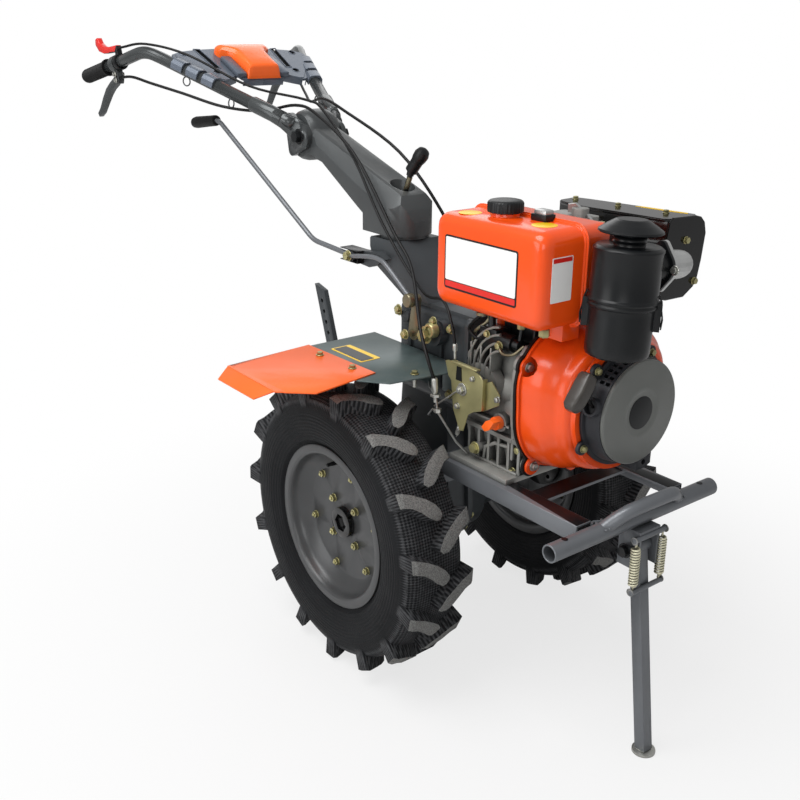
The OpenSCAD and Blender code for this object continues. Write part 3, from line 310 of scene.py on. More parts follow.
@dataclass(frozen=True)
class Finish:
    """One finish: how its colour, gloss and grain vary over a piece."""

    name: str
    tone: Tone
    roughness: float = 0.4
    metallic: float = 0.0  # share of bare metal
    coat: float = 0.0  # clear coat over the colour
    mottle: float = 0.1  # how far the colour wanders
    grain: float = 500.0  # waves per metre of the surface's grain
    depth: float = 0.02  # height of the grain in millimetres
    corner_shade: float = 0.0  # painted shade: how dark inner corners are made
    dust: float = 0.0  # share of pale dust on faces that look up
    sheen_level: float = 0.5  # specular level

    def material(self) -> bpy.types.Material:
        """The material, made once.

        Returns:
            The Blender material.
        """
        made = bpy.data.materials.get(self.name)
        if not made:
            made = bpy.data.materials.new(self.name)
            graph = Graph(made)
            graph.set(Base_Color=self.colour(graph), Metallic=self.metallic, Coat_Weight=self.coat,
                      Roughness=self.gloss(graph), Coat_Roughness=0.08, Specular_IOR_Level=self.sheen_level)
            self.relief(graph)
        return made

    def colour(self, graph: Graph) -> Sock:
        """Base colour with its wander, specks, painted shade in inner corners and dust.

        Args:
            graph: takes the nodes.

        Returns:
            The colour.
        """
        base = self.tone.value
        patch = graph.noise(7.0, 4.0).ramp(0.3, 0.7)
        colour = graph.blend(patch, shade(base, 1 - self.mottle), shade(base, 1 + self.mottle))
        speck = graph.noise(160.0, 2.0).ramp(0.62, 0.78) * self.mottle
        colour = graph.blend(speck, colour, shade(base, 0.45))
        # painted shade: the Ambient Occlusion node darkens the colour in inner corners
        if self.corner_shade:
            shut = graph.node("ShaderNodeAmbientOcclusion", {"samples": 4}, {"Distance": CORNER}, "AO")
            colour = graph.blend((1 - shut.ramp(0.2, 0.9)) * self.corner_shade, colour, shade(base, 0.1))
        if self.dust:
            up = graph.axes(graph.node("ShaderNodeTexCoord", output="Normal"))[2]
            lying = up.ramp(0.5, 1.0) * graph.noise(30.0, 5.0, 0.7).ramp(0.35, 0.75) * self.dust
            colour = graph.blend(lying, colour, Tone.DUST.value)
        return colour

    def gloss(self, graph: Graph) -> Sock:
        """Roughness that wanders a little."""
        return graph.noise(22.0, 4.0) * (0.3 * self.roughness) + 0.85 * self.roughness

    def relief(self, graph: Graph) -> None:
        """Fine grain in the normal."""
        graph.bump(graph.noise(self.grain, 2.0), self.depth, 0.6)


@dataclass(frozen=True)
class Cast(Finish):
    """Sand-cast metal with coarse pits over its grain."""

    def relief(self, graph: Graph) -> None:
        """Pits and grain in the normal.

        Args:
            graph: takes the nodes.
        """
        pits = graph.node("ShaderNodeTexVoronoi", {"feature": "SMOOTH_F1"},
                          {"Vector": graph.place(), "Scale": self.grain * 0.4})
        graph.bump(graph.noise(self.grain, 3.0) + pits * 0.7, self.depth, 0.8)


@dataclass(frozen=True)
class Carcass(Finish):
    """Tyre rubber with a moulded diamond net around the tread and fine rings on the sidewalls."""

    tread_from: float = 0.247  # radii in metres
    sidewall_to: float = 0.236
    net: float = 150.0
    net_across: float = 520.0
    rings: float = 900.0

    def spread(self, graph: Graph) -> tuple[Sock, Sock]:
        """Where a point lies on the tyre.

        Args:
            graph: takes the nodes.

        Returns:
            Its distance from the axle, and a wave that crosses itself in a diamond net round the tyre.
        """
        x, y, z = graph.axes(graph.place())
        x, z = x - AXLE.x, z - AXLE.z
        along, across = x.math("ARCTAN2", z, x) * self.net, y * self.net_across
        return x.math("SQRT", x * x + z * z), (along + across).sine() * (along - across).sine()

    def colour(self, graph: Graph) -> Sock:
        """Black sidewalls, and a tread that is greyed by dry earth between the net's grooves.

        Args:
            graph: takes the nodes.

        Returns:
            The colour.
        """
        radius, net = self.spread(graph)
        patch = graph.noise(90.0, 5.0, 0.7).ramp(0.3, 0.75)
        tread = radius.ramp(self.tread_from - 0.006, self.tread_from + 0.01)
        return graph.blend(tread * net.ramp(-0.3, 0.25) * (patch * 0.6 + 0.3), super().colour(graph),
                           Tone.DRY_EARTH.value)

    def relief(self, graph: Graph) -> None:
        """Diamond net outside, rings inside.

        Args:
            graph: takes the nodes.
        """
        radius, net = self.spread(graph)
        tread = radius.ramp(self.tread_from, self.tread_from + 0.004)
        wall = 1 - radius.ramp(self.sidewall_to - 0.004, self.sidewall_to)
        graph.bump(net.ramp(-0.1, 0.5) * tread + (radius * self.rings).sine() * wall * 0.25
                   + graph.noise(700.0, 3.0) * 0.5, self.depth)


@dataclass(frozen=True)
class LugTop(Finish):
    """Scuffed top of a tyre lug, with fine crossing cuts."""

    def relief(self, graph: Graph) -> None:
        """Crossing fine cuts in the normal.

        Args:
            graph: takes the nodes.
        """
        x, y, z = (part * scale for part, scale in zip(graph.axes(graph.place()), (1500.0, 1300.0, 1500.0)))
        wander = graph.noise(220.0, 4.0, 0.7) * 5.0
        cuts = (x + y + wander).sine() * (z - y + wander).sine()
        graph.bump(cuts.ramp(-0.2, 0.6) + graph.noise(1200.0, 3.0), self.depth)

    def colour(self, graph: Graph) -> Sock:
        """Grey scuffs over black rubber."""
        scuff = graph.noise(420.0, 5.0, 0.75).ramp(0.36, 0.62)
        return graph.blend(scuff, shade(self.tone.value, 0.45), shade(self.tone.value, 1.15))


class Look:
    """The machine's finishes."""

    tank = Finish("tank_paint", Tone.TANK_ORANGE, 0.2, coat=0.15, mottle=0.03, grain=260)
    shroud = Finish("shroud_paint", Tone.TANK_ORANGE, 0.24, 0, 0.1, 0.05, 240, 0.03, 0.5)
    panel = Finish("panel_paint", Tone.COVER_ORANGE, 0.34, 0, 0.1, 0.04, 300, corner_shade=0.3)
    cover = Finish("cover_plastic", Tone.COVER_ORANGE, 0.3, coat=0.15, mottle=0.02)
    hood = Finish("hood_paint", Tone.COLUMN_GREY, 0.36, 0.3, 0, 0.05, 420, 0.03, dust=0.04)
    chassis = Cast("chassis_paint", Tone.CHASSIS_GREY, 0.42, 0.2, 0, 0.1, 420, 0.1, 0.8)
    sheet = Finish("sheet_paint", Tone.SHEET_GREY, 0.34, 0.25, 0, 0.07, 300, corner_shade=0.3, dust=0.05)
    rail = Finish("rail_paint", Tone.RAIL_GREY, 0.36, 0.3, 0, 0.08, 420, 0.03, 0.5)
    rim = Finish("rim_paint", Tone.RIM_GREY, 0.32, 0.35, 0, 0.06, 420, corner_shade=0.6)
    tube = Finish("tube_paint", Tone.COLUMN_GREY, 0.22, 0.45, 0, 0.06, 420)
    console = Finish("console_paint", Tone.PANEL_GREY, 0.34, 0.25, 0, 0.05, 420, corner_shade=0.5)
    black_paint = Finish("black_enamel", Tone.BLACK, 0.3, sheen_level=0.35)
    gloss_black = Finish("gloss_black", Tone.DEEP_BLACK, 0.12, 0, 0.3, 0.1, 300, 0.01, sheen_level=0.4)
    shield = Finish("shield_paint", Tone.DEEP_BLACK, 0.14, 0, 0.3, 0.15, 120, 0.25, sheen_level=0.4)
    black_plastic = Finish("black_moulding", Tone.BLACK, 0.38, grain=1100, depth=0.04, sheen_level=0.35)
    housing = Finish("housing_plastic", Tone.HOUSING_GREY, 0.42, 0, 0, 0.1, 800, 0.05, 0.8, sheen_level=0.25)
    disc = Finish("disc_plastic", Tone.DISC_GREY, 0.36, mottle=0.06, grain=900, depth=0.04)
    starter_grip = Finish("grip_plastic", Tone.GRIP_BROWN, 0.3, mottle=0.15, depth=0.04, corner_shade=0.4)
    rubber = Finish("soft_rubber", Tone.DEEP_BLACK, 0.5, grain=700, depth=0.06, sheen_level=0.3)
    tyre = Carcass("tyre_rubber", Tone.RUBBER, 0.55, mottle=0.2, depth=1.3, corner_shade=0.4, sheen_level=0.12)
    lug_top = LugTop("lug_rubber", Tone.WORN_RUBBER, 0.75, mottle=0.2, depth=0.5, sheen_level=0.25)
    cast = Cast("cast_alloy", Tone.ALUMINIUM, 0.46, 0.6, mottle=0.2, depth=0.2, corner_shade=0.97)
    bright = Cast("bright_aluminium", Tone.BRIGHT_ALUMINIUM, 0.32, 0.8, mottle=0.08, depth=0.08, corner_shade=0.6)
    yellow_zinc = Finish("yellow_zinc", Tone.YELLOW_ZINC, 0.36, 0.75, mottle=0.25, grain=300, corner_shade=0.7)
    zinc = Finish("zinc_plate", Tone.ZINC, 0.3, 0.85, mottle=0.14, grain=600, corner_shade=0.6)
    brass = Finish("brass", Tone.BRASS, 0.34, 0.8, mottle=0.2, corner_shade=0.6)
    steel = Finish("bare_steel", Tone.STEEL, 0.36, 0.85, mottle=0.2, grain=700, depth=0.03, corner_shade=0.6)
    cream = Finish("cream_zinc", Tone.CREAM, 0.4, 0.3, mottle=0.12, depth=0.03, corner_shade=0.8)
    white_plate = Finish("white_plate", Tone.WHITE, 0.35, mottle=0.03, depth=0.01)
    red_plate = Finish("red_band", Tone.SIGNAL_RED, 0.35, mottle=0.03, depth=0.01)
    yellow_plate = Finish("yellow_patch", Tone.YELLOW, 0.35, mottle=0.03, depth=0.01)
    red_plastic = Finish("red_plastic", Tone.SIGNAL_RED, 0.3, coat=0.1, mottle=0.04, grain=600)
    orange_plastic = Finish("orange_plastic", Tone.COVER_ORANGE, 0.35, mottle=0.04, grain=600)


class Maker:
    """Collects simple solids into one mesh and turns it into a piece."""

    def __init__(self) -> None:
        """Starts an empty mesh."""
        self.bm = bmesh.new()

    def loft(self, rings: Sequence[Sequence[Vector]], closed: bool = False) -> "Maker":
        """Skins a row of rings with as many points each, with flat ends.

        Args:
            rings: closed rings of points.
            closed: whether the last ring joins the first.

        Returns:
            This maker.
        """
        rows = [[self.bm.verts.new(p) for p in ring] for ring in rings]
        count = len(rows[0])
        for i in range(len(rows) if closed else len(rows) - 1):
            a, b = rows[i], rows[(i + 1) % len(rows)]
            for k in range(count):
                self.bm.faces.new((a[k], a[(k + 1) % count], b[(k + 1) % count], b[k]))
        if not closed:
            self.bm.faces.new(rows[0][::-1])
            self.bm.faces.new(rows[-1])
        return self

    def lathe(self, profile: Sequence[Pair], place: Vector, axis: Vector = UP, sides: int = 32) -> "Maker":
        """Turns a profile round an axis.

        Args:
            profile: (radius, height) pairs in millimetres, from below to the top.
            place: foot of the axis.
            axis: direction of the axis.
            sides: points around it.

        Returns:
            This maker.
        """
        turn = Matrix.Translation(place) @ axis.to_track_quat("Z", "Y").to_matrix().to_4x4()
        rings = [(max(r, 0.01) * MM, h * MM) for r, h in profile]
        return self.loft([[turn @ Vector((r * c, r * s, h)) for c, s in circle(sides)] for r, h in rings])

    def tube(self, points: Sequence[Vector], radius: float, sides: int = 12, closed: bool = False) -> "Maker":
        """Sweeps a round section along points.

        Args:
            points: the route in metres.
            radius: radius in millimetres.
            sides: points around the section.
            closed: whether the route is a loop.

        Returns:
            This maker.
        """
        side, rings, count = None, [], len(points)
        for i, point in enumerate(points):
            before = points[i - 1] if i or closed else point
            after = points[(i + 1) % count] if i < count - 1 or closed else point
            along = (after - before).normalized()
            side = side or along.orthogonal().normalized()
            side = (side - along * side.dot(along)).normalized()
            other = along.cross(side)
            rings.append([point + radius * MM * (side * c + other * s) for c, s in circle(sides)])
        return self.loft(rings, closed)

    def coil(self, start: Vector, end: Vector, radius: float, wire: float, turns: int) -> "Maker":
        """Close-wound coil spring with a hook at each end.

        Args:
            start: where the first hook holds.
            end: where the last hook holds.
            radius: mean coil radius in millimetres.
            wire: wire radius in millimetres.
            turns: number of turns.

        Returns:
            This maker.
        """
        along, hook, steps = end - start, 0.11, turns * 12
        side = along.orthogonal().normalized()
        other = along.normalized().cross(side)
        points = [start + along * 0.01, start + along * hook * 0.6]
        for k in range(steps + 1):
            a = 2 * math.pi * k / 12
            points.append(start + along * (hook + (1 - 2 * hook) * k / steps)
                          + radius * MM * min(1.0, k / 8, (steps - k) / 8) * (side * math.cos(a) + other * math.sin(a)))
        return self.tube([*points, end - along * hook * 0.6, end - along * 0.01], wire, 6)

    def slab(self, outline: Sequence[Pair], thickness: float, turn: Matrix, chamfer: float = 0.5) -> "Maker":
        """Flat plate with a slightly chamfered edge.

        Args:
            outline: corners in millimetres in the plate's own X and Y.
            thickness: in millimetres, along its own Z.
            turn: where the plate lies.
            chamfer: width of the rounded edge in millimetres.

        Returns:
            This maker.
        """
        chamfer = min(chamfer, thickness * 0.3)
        mx, my = (sum(corner[axis] for corner in outline) / len(outline) for axis in (0, 1))
        reach = max(math.hypot(x - mx, y - my) for x, y in outline)
        rings = []
        for inset, height in ((chamfer, 0), (0, chamfer), (0, thickness - chamfer), (chamfer, thickness)):
            share = 1 - inset / reach
            rings.append([turn @ Vector(((mx + (x - mx) * share) * MM, (my + (y - my) * share) * MM, height * MM))
                          for x, y in outline])
        return self.loft(rings)

    def bolt(self, place: Vector, axis: Vector, across: float = 13.0, washer: float = 0.0,
             stub: float = 0.0) -> "Maker":
        """Hexagon head on a washer, with a stub of thread where wanted.

        Args:
            place: where the washer's underside lies.
            axis: direction out of the surface.
            across: width across the flats in millimetres.
            washer: washer radius in millimetres, or 0 for 0.78 of the width.
            stub: length of thread beyond the head in millimetres.

        Returns:
            This maker.
        """
        corner, head, plate = across / 1.732, across * 0.52, washer or across * 0.78
        self.lathe([(plate - 0.5, 0), (plate, 0.4), (plate, 1.3), (plate - 0.5, 1.7)], place, axis, 24)
        self.lathe([(corner * 0.96, 1.6), (corner, 2.0), (corner, 1.2 + head), (corner * 0.84, 1.6 + head)],
                   place, axis, 6)
        if stub:
            self.lathe([(across * 0.28, 1.6 + head), (across * 0.28, 1 + head + stub),
                        (across * 0.22, 1.6 + head + stub)], place, axis, 14)
        return self

    def bolts(self, axis: Vector, points: Iterable[Triple], *size: float) -> "Maker":
        """Bolt heads of one size.

        Args:
            axis: direction out of the surface.
            points: places in millimetres from the axle.
            size: width across the flats, washer radius and stub.

        Returns:
            This maker.
        """
        for point in points:
            self.bolt(at(*point), axis, *size)
        return self

    def box(self, low: Triple, high: Triple, chamfer: float = 1.0, turn: Matrix | None = None) -> "Maker":
        """Block with chamfered edges.

        Args:
            low: lowest corner in millimetres from the axle.
            high: highest corner.
            chamfer: in millimetres.
            turn: the block's own placement, or none where the corners are from the axle.

        Returns:
            This maker.
        """
        made = bmesh.new()
        bmesh.ops.create_cube(made, size=1.0)
        made.transform(Matrix.Diagonal([(h - l) * MM for l, h in zip(low, high)] + [1]))
        bmesh.ops.bevel(made, geom=made.edges[:], offset=chamfer * MM, segments=2, profile=0.5, affect="EDGES")
        centre = [(l + h) / 2 for l, h in zip(low, high)]
        made.transform(turn @ Matrix.Translation(Vector(centre) * MM) if turn else laid(centre))
        mesh = bpy.data.meshes.new("block")
        made.to_mesh(mesh)
        self.bm.from_mesh(mesh)
        bpy.data.meshes.remove(mesh)
        made.free()
        return self

    def piece(self, name: str, finish: Finish, body: str = "chassis", smooth: float = 34.0,
              stands_for: str = "") -> bpy.types.Object:
        """Makes the object and lets it ride on a body.

        Args:
            name: the piece's name.
            finish: its finish.
            body: the CAD body that it moves with, or none.
            smooth: edges below this angle are shaded smooth.
            stands_for: the CAD node that it replaces, or none.

        Returns:
            The object.
        """
        bmesh.ops.recalc_face_normals(self.bm, faces=self.bm.faces[:])
        return finished(self.bm, name, [finish], body, smooth, stands_for)


def placed(name: str, data: bpy.types.ID, place: Vector | Triple = (0, 0, 0)) -> bpy.types.Object:
    """Adds an object to the scene.

    Args:
        name: its name.
        data: its mesh, lamp or camera.
        place: where it stands, in metres.

    Returns:
        The object.
    """
    made = bpy.data.objects.new(name, data)
    made.location = place
    bpy.context.scene.collection.objects.link(made)
    return made


def soften_shading(mesh: bpy.types.Mesh, angle: float) -> None:
    """Shades edges smooth below an angle in degrees.

    Args:
        mesh: the mesh.
        angle: edges above it stay sharp.
    """
    mesh.polygons.foreach_set("use_smooth", [True] * len(mesh.polygons))
    mesh.set_sharp_from_angle(angle=math.radians(angle))
    mesh.update()


def finished(bm: bmesh.types.BMesh, name: str, finishes: Sequence[Finish], body: str, smooth: float,
             stands_for: str) -> bpy.types.Object:
    """Turns a mesh under work into a finished piece.

    Args:
        bm: the mesh, which is used up.
        name: the piece's name.
        finishes: one for each material slot.
        body: the CAD body that it moves with, or none.
        smooth: edges below this angle are shaded smooth.
        stands_for: the CAD node that it replaces, or none.

    Returns:
        The object.
    """
    mesh = bpy.data.meshes.new(name)
    bm.to_mesh(mesh)
    bm.free()
    for finish in finishes:
        mesh.materials.append(finish.material())
    made = placed(name, mesh)
    soften_shading(mesh, smooth)
    if body:
        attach(made, body)
    if stands_for:
        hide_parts(stands_for)
    log.info("%s: %d faces on %s", name, len(mesh.polygons), body or "no body of its own")
    return made


def dress(node: str, finish: Finish) -> None:
    """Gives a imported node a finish.

    Args:
        node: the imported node.
        finish: its finish.
    """
    materials = frame["nodes"][node].data.materials
    materials.clear()
    materials.append(finish.material())
    log.info("%s: %s", node, finish.name)


def eased(node: str, finish: Finish, width: float = 1.0, segments: int = 2, second: Finish | None = None,
          takes_second: Callable[[Vector, Vector], bool] | None = None) -> None:
    """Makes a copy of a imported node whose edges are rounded, which stands for it.

    Args:
        node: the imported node.
        finish: its finish.
        width: width of the rounded edges in millimetres, or 0 for smooth shading alone.
        segments: steps across a rounded edge.
        second: finish of some of its faces.
        takes_second: tells from a face's middle and normal whether it takes the second finish.
    """
    bm = bmesh.new()
    bm.from_mesh(frame["nodes"][node].data)
    bmesh.ops.remove_doubles(bm, verts=bm.verts[:], dist=WELD)
    bmesh.ops.dissolve_limit(bm, angle_limit=FLAT, verts=bm.verts[:], edges=bm.edges[:])
    sharp = [e for e in bm.edges if e.is_manifold and e.calc_face_angle(0) > SHARP]
    if width:
        bmesh.ops.bevel(bm, geom=sharp, offset=width * MM, segments=segments, profile=0.5, affect="EDGES",
                        clamp_overlap=True)
    bmesh.ops.triangulate(bm, faces=[f for f in bm.faces if len(f.verts) > 4])
    made = finished(bm, node + "_eased", [finish, second] if second else [finish], frame["nodes"][node]["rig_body"],
                    30, node)
    for polygon in made.data.polygons if second else ():
        polygon.material_index = int(takes_second(polygon.center, polygon.normal))


def carve(made: bpy.types.Object, cutter: Maker, finish: Finish) -> None:
    """Cuts one solid out of another; the new faces take a finish of their own.

    Args:
        made: the piece that is cut.
        cutter: the solids that are taken away.
        finish: finish of the cut faces.
    """
    tool = cutter.piece("cutter", finish, "")
    step = made.modifiers.new("cut", "BOOLEAN")
    step.object, step.operation, step.solver, step.material_mode = tool, "DIFFERENCE", "EXACT", "TRANSFER"
    step.use_self = True
    mesh = bpy.data.meshes.new_from_object(made.evaluated_get(bpy.context.evaluated_depsgraph_get()))
    made.modifiers.clear()
    made.data = mesh
    bpy.data.objects.remove(tool)
    soften_shading(mesh, 40)


@dataclass
class Wheel:
    """A road wheel with its lugged tyre, dished rim, hub, bolts and valve."""

    side: str
    disc_y: float = 274.5  # outer face of the rim's disc from the middle plane, in millimetres
    disc_bolts: Triple = (108.0, 14, 60)  # radius, first angle and step of the disc's bolts
    hub_bolts: Triple = (53.6, 44, 90)
    lug_from: float = 0.2835  # radius in metres beyond which a face is the top of a lug
    valve: Pair = (126.0, 97.0)  # its radius and angle on the rim
    ring_radii: Pair = (221, 226)
    ring_y: float = 66.6  # from the tyre's own middle plane

    @property
    def out(self) -> int:
        """Sign of the wheel's outer side along Y."""
        return -1 if self.side == "right" else 1

    def place(self, radius: float, angle: float, y: float) -> Vector:
        """Point at a radius and an angle in degrees on the wheel, and a distance from the middle plane.

        Args:
            radius: in millimetres.
            angle: from the front upwards.
            y: in millimetres.

        Returns:
            The point in metres.
        """
        a = math.radians(angle)
        return Vector((AXLE.x + radius * MM * math.cos(a), self.out * y * MM, AXLE.z + radius * MM * math.sin(a)))

    def top_of_lug(self, centre: Vector, normal: Vector) -> bool:
        """Whether a face is the worn top of a lug.

        Args:
            centre: the face's middle.
            normal: its normal.

        Returns:
            True for a lug's top.
        """
        away = Vector((centre.x - AXLE.x, 0, centre.z - AXLE.z))
        return away.length > self.lug_from and normal.dot(away.normalized()) > 0.75

    def build(self) -> None:
        """Dresses the tyre, rim and hub and adds what is bolted to them."""
        body, out = "wheel_" + self.side, LEFT * self.out
        eased(f"tyre_{self.side}", Look.tyre, 1.6, 2, Look.lug_top, self.top_of_lug)
        rings = Maker()
        for shift in (self.ring_y, -self.ring_y):
            y = self.out * (abs(AXLE.y) / MM + shift) * MM
            for radius in self.ring_radii:
                rings.tube([Vector((AXLE.x + radius * MM * c, y, AXLE.z + radius * MM * s)) for c, s in circle(120)],
                           1.1, 6, True)
        rings.piece(f"sidewall_rings_{self.side}", Look.tyre, body)
        eased(f"rim_{self.side}", Look.rim, 0.8)
        eased(f"hub_{self.side}", Look.gloss_black)
        bolts = Maker()
        for (radius, first, step), count, size in ((self.disc_bolts, 6, (12, 8, 3)), (self.hub_bolts, 4, (13, 8.5, 3))):
            for k in range(count):
                bolts.bolt(self.place(radius, first + step * k, self.disc_y + 0.1), out, *size)
        bolts.piece(f"wheel_bolts_{self.side}", Look.yellow_zinc, body)
        Maker().lathe([(7.5, 0), (7.5, 3), (4.5, 6), (4.2, 22), (3.6, 23), (3.6, 31), (2.8, 33)],
                      self.place(*self.valve, self.disc_y - 2), out, 16).piece(
            f"valve_{self.side}", Look.rubber, body)


@dataclass
class Chassis:
    """Gearbox, pedestal, hitch, engine rails, bumper and fenders."""

    fender_top: float = 622.0  # height of the fender plates' upper face in millimetres
    middle_y: float = -30.0  # middle plane of the gearbox and the rails
    axle_z: float = 295.0  # height of the wheels' axle
    seam_r: float = 94.0  # bolt circle of the seam round the axle
    seam_out: float = 7.2  # half the width of the seam's flange
    flank: float = 103.2  # where the bolts of the gearbox's upper part sit, from the machine's middle plane
    bumper_from: Triple = (521, -243.5, 446.5)  # right and left end of the bumper tube
    bumper_to: Triple = (521, 167.5, 446.5)
    pad_x: Pair = (355, 405)  # black pads on the engine rails

    def build(self) -> None:
        """Dresses the chassis nodes and adds bolts, welds and plates."""
        for node in ("gearbox", "pedestal", "hitch", "depth_bar"):
            eased(node, Look.chassis, 1.6)
        low, high = (at(x, 0, 0).x for x in self.pad_x)
        eased("engine_frame", Look.rail, 1.0, 2, Look.black_paint,
              lambda centre, normal: low < centre.x < high and abs(normal.z) > 0.5)
        self.bumper()
        eased("stand_bracket", Look.rail, 0.8)
        eased("fender_plates", Look.sheet, 0.5)
        eased("fender_panels", Look.panel, 0.5)
        self.gearbox_details()
        self.fender_details()
        self.welds()

    def bumper(self) -> None:
        """Bumper tube with open ends and the smooth bow over it."""
        end = [(12.5, 70), (12.5, 0.8), (13.2, 0), (14.7, 0), (15.5, 0.8)]
        length = (at(*self.bumper_to) - at(*self.bumper_from)).length / MM
        tube = Maker().lathe([(0, 70), *end, *((r, length - h) for r, h in end[::-1]), (0, length - 70)],
                             at(*self.bumper_from), LEFT, 40)
        bow = [(521, -126, 448), (525, -112, 457), (534, -97, 470), (541, -80, 479), (544, -62, 482), (544, -25, 482.5),
               (544, 12, 482), (541, 30, 479), (534, 47, 470), (525, 62, 457), (521, 76, 448)]
        tube.tube(route(bow, 4), 12.0, 24).piece("bumper_tube", Look.rail, stands_for="bumper")
        # painted shade: flat black discs on the tube's top stand for the dark insides of its holes
        eyes = Maker()
        for y in (-209.5, 133.5):
            eyes.lathe([(4.5, 0), (5.4, 0.2), (5.4, 1), (4.5, 1.2)], at(521, y, 461.2), UP, 24)
        eyes.piece("bumper_hole_shades", Look.black_plastic)

    def gearbox_details(self) -> None:
        """Bolts round the gearbox's seam and on its sides, and the selector boss."""
        bolts = Maker()
        for side in SIDES:
            for angle in range(200, 345, 24):
                a = math.radians(angle)
                bolts.bolt(at(self.seam_r * math.cos(a), self.middle_y + side * self.seam_out,
                              self.axle_z + self.seam_r * math.sin(a)), LEFT * side, 10)
            bolts.bolts(LEFT * side, [(x, self.middle_y + side * self.seam_out, z) for x, z in (
                (-58, 400), (-62, 460), (62, 400), (68, 460))], 12)
            bolts.bolts(LEFT * side, [(x, side * self.flank, z) for x, z in ((-50, 690), (110, 690), (110, 560))], 12)
        bolts.bolt(at(64, -126.2, 672), RIGHT, 22, 17).bolt(at(76, -117.5, 700), RIGHT, 12)
        bolts.piece("gearbox_bolts", Look.yellow_zinc)
        Maker().lathe([(15, 0), (15, 12), (13, 15), (9, 15), (8, 11), (0, 11)], at(76, -116.4, 683), RIGHT, 24).piece(
            "selector_boss", Look.yellow_zinc)

    def fender_details(self) -> None:
        """Fender bolts and the blank plate on the right fender."""
        top, bolts, folds, hanging = self.fender_top, Maker(), Maker(), Maker()
        for side in SIDES:
            bolts.bolts(UP, [(x, side * y, top + 3.1) for x, y in ((-73, 278), (29, 273))], 10)
            bolts.bolt(at(118, side * 196, top + 0.6), UP, 10)
            fold = [(x, side * y) for x, y in ((-123, 447), (62, 438), (50, 452.5), (-123, 451.5))]
            folds.slab(fold[::-side], 2.6, laid((0, 0, top + 0.45)))
            hanging.lathe([(4, 0), (4, 22), (3, 23)], at(118, side * 196, top - 24), UP, 12)
        bolts.piece("fender_bolts", Look.yellow_zinc)
        folds.piece("fender_folds", Look.panel)
        hanging.piece("fender_bolt_shanks", Look.zinc)
        place = laid((-47, -213, top + 0.55))
        Maker().slab(rounded_outline(104, 46, 3), 0.6, place).piece("fender_plate_border", Look.yellow_plate)
        Maker().slab(rounded_outline(96, 30, 2, -4), 0.4, place @ lifted(0.6)).piece(
            "fender_plate_field", Look.black_paint)

    def welds(self) -> None:
        """Weld beads where the rails and the bow meet the bumper tube."""
        beads = Maker()
        for side in SIDES:
            beads.tube([at(506 + 3 * math.sin(k * 0.9), self.middle_y + side * 90 - 14 * side + k * 3.4 * side, 457.5)
                        for k in range(9)], 2.4, 8)
            for k in range(7):
                a = math.radians(-60 + 40 * k)
                beads.lathe([(0, -2.4), (2.8, -1), (3.2, 0.6), (2.4, 2), (0, 2.6)],
                            at(522 + 12.5 * math.cos(a), -25 + side * 97 + 13 * math.sin(a), 456.5),
                            Vector((0.2, 0, 1)), 10)
        beads.piece("weld_beads", Look.rail)


@dataclass
class Stand:
    """Folding front stand with its two coil springs."""

    y: float = -30.0  # middle plane of the stand in millimetres
    spring_top: Pair = (549.0, 422.0)  # upper eye of a spring, (X, Z)
    spring_foot: Pair = (550.0, 325.0)
    reach: float = 34.0  # distance of each spring from the middle plane
    foot_to: float = 0.0115  # height in metres of the stand's zinc foot
    pivot: Triple = (527.0, 34.2, 395.0)  # pivot bolt: X, distance from the middle plane, Z

    def build(self) -> None:
        """Builds the leg's foot, springs and eyes."""
        eased("stand_leg", Look.rail, 1.2, 2, Look.zinc, lambda centre, normal: centre.z < self.foot_to)
        springs, top, foot, pivot = Maker(), Maker(), Maker(), Maker()
        for side in SIDES:
            ends = [at(x, self.y + side * self.reach, z) for x, z in (self.spring_top, self.spring_foot)]
            springs.coil(*ends, 7.0, 1.9, 15)
            for maker, (x, z) in ((top, self.spring_top), (foot, self.spring_foot)):
                maker.lathe([(5.2, 0), (7, 0.5), (7, 1.8), (5.2, 2.3)],
                            at(x, self.y + side * (self.reach + 4.5), z + 1.5), LEFT * side, 20)
            pivot.bolt(at(self.pivot[0], self.y + side * self.pivot[1], self.pivot[2]), LEFT * side, 17)
        made = springs.piece("stand_coil_springs", Look.cream, "")
        tuple(at(549, self.y, 420))
        tuple(at(550, self.y, 330))
        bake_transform(made)
        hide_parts("stand_springs")
        top.piece("spring_washers_top", Look.steel)
        foot.piece("spring_washers_foot", Look.steel, "stand")
        pivot.piece("stand_pivot_bolts", Look.black_paint)


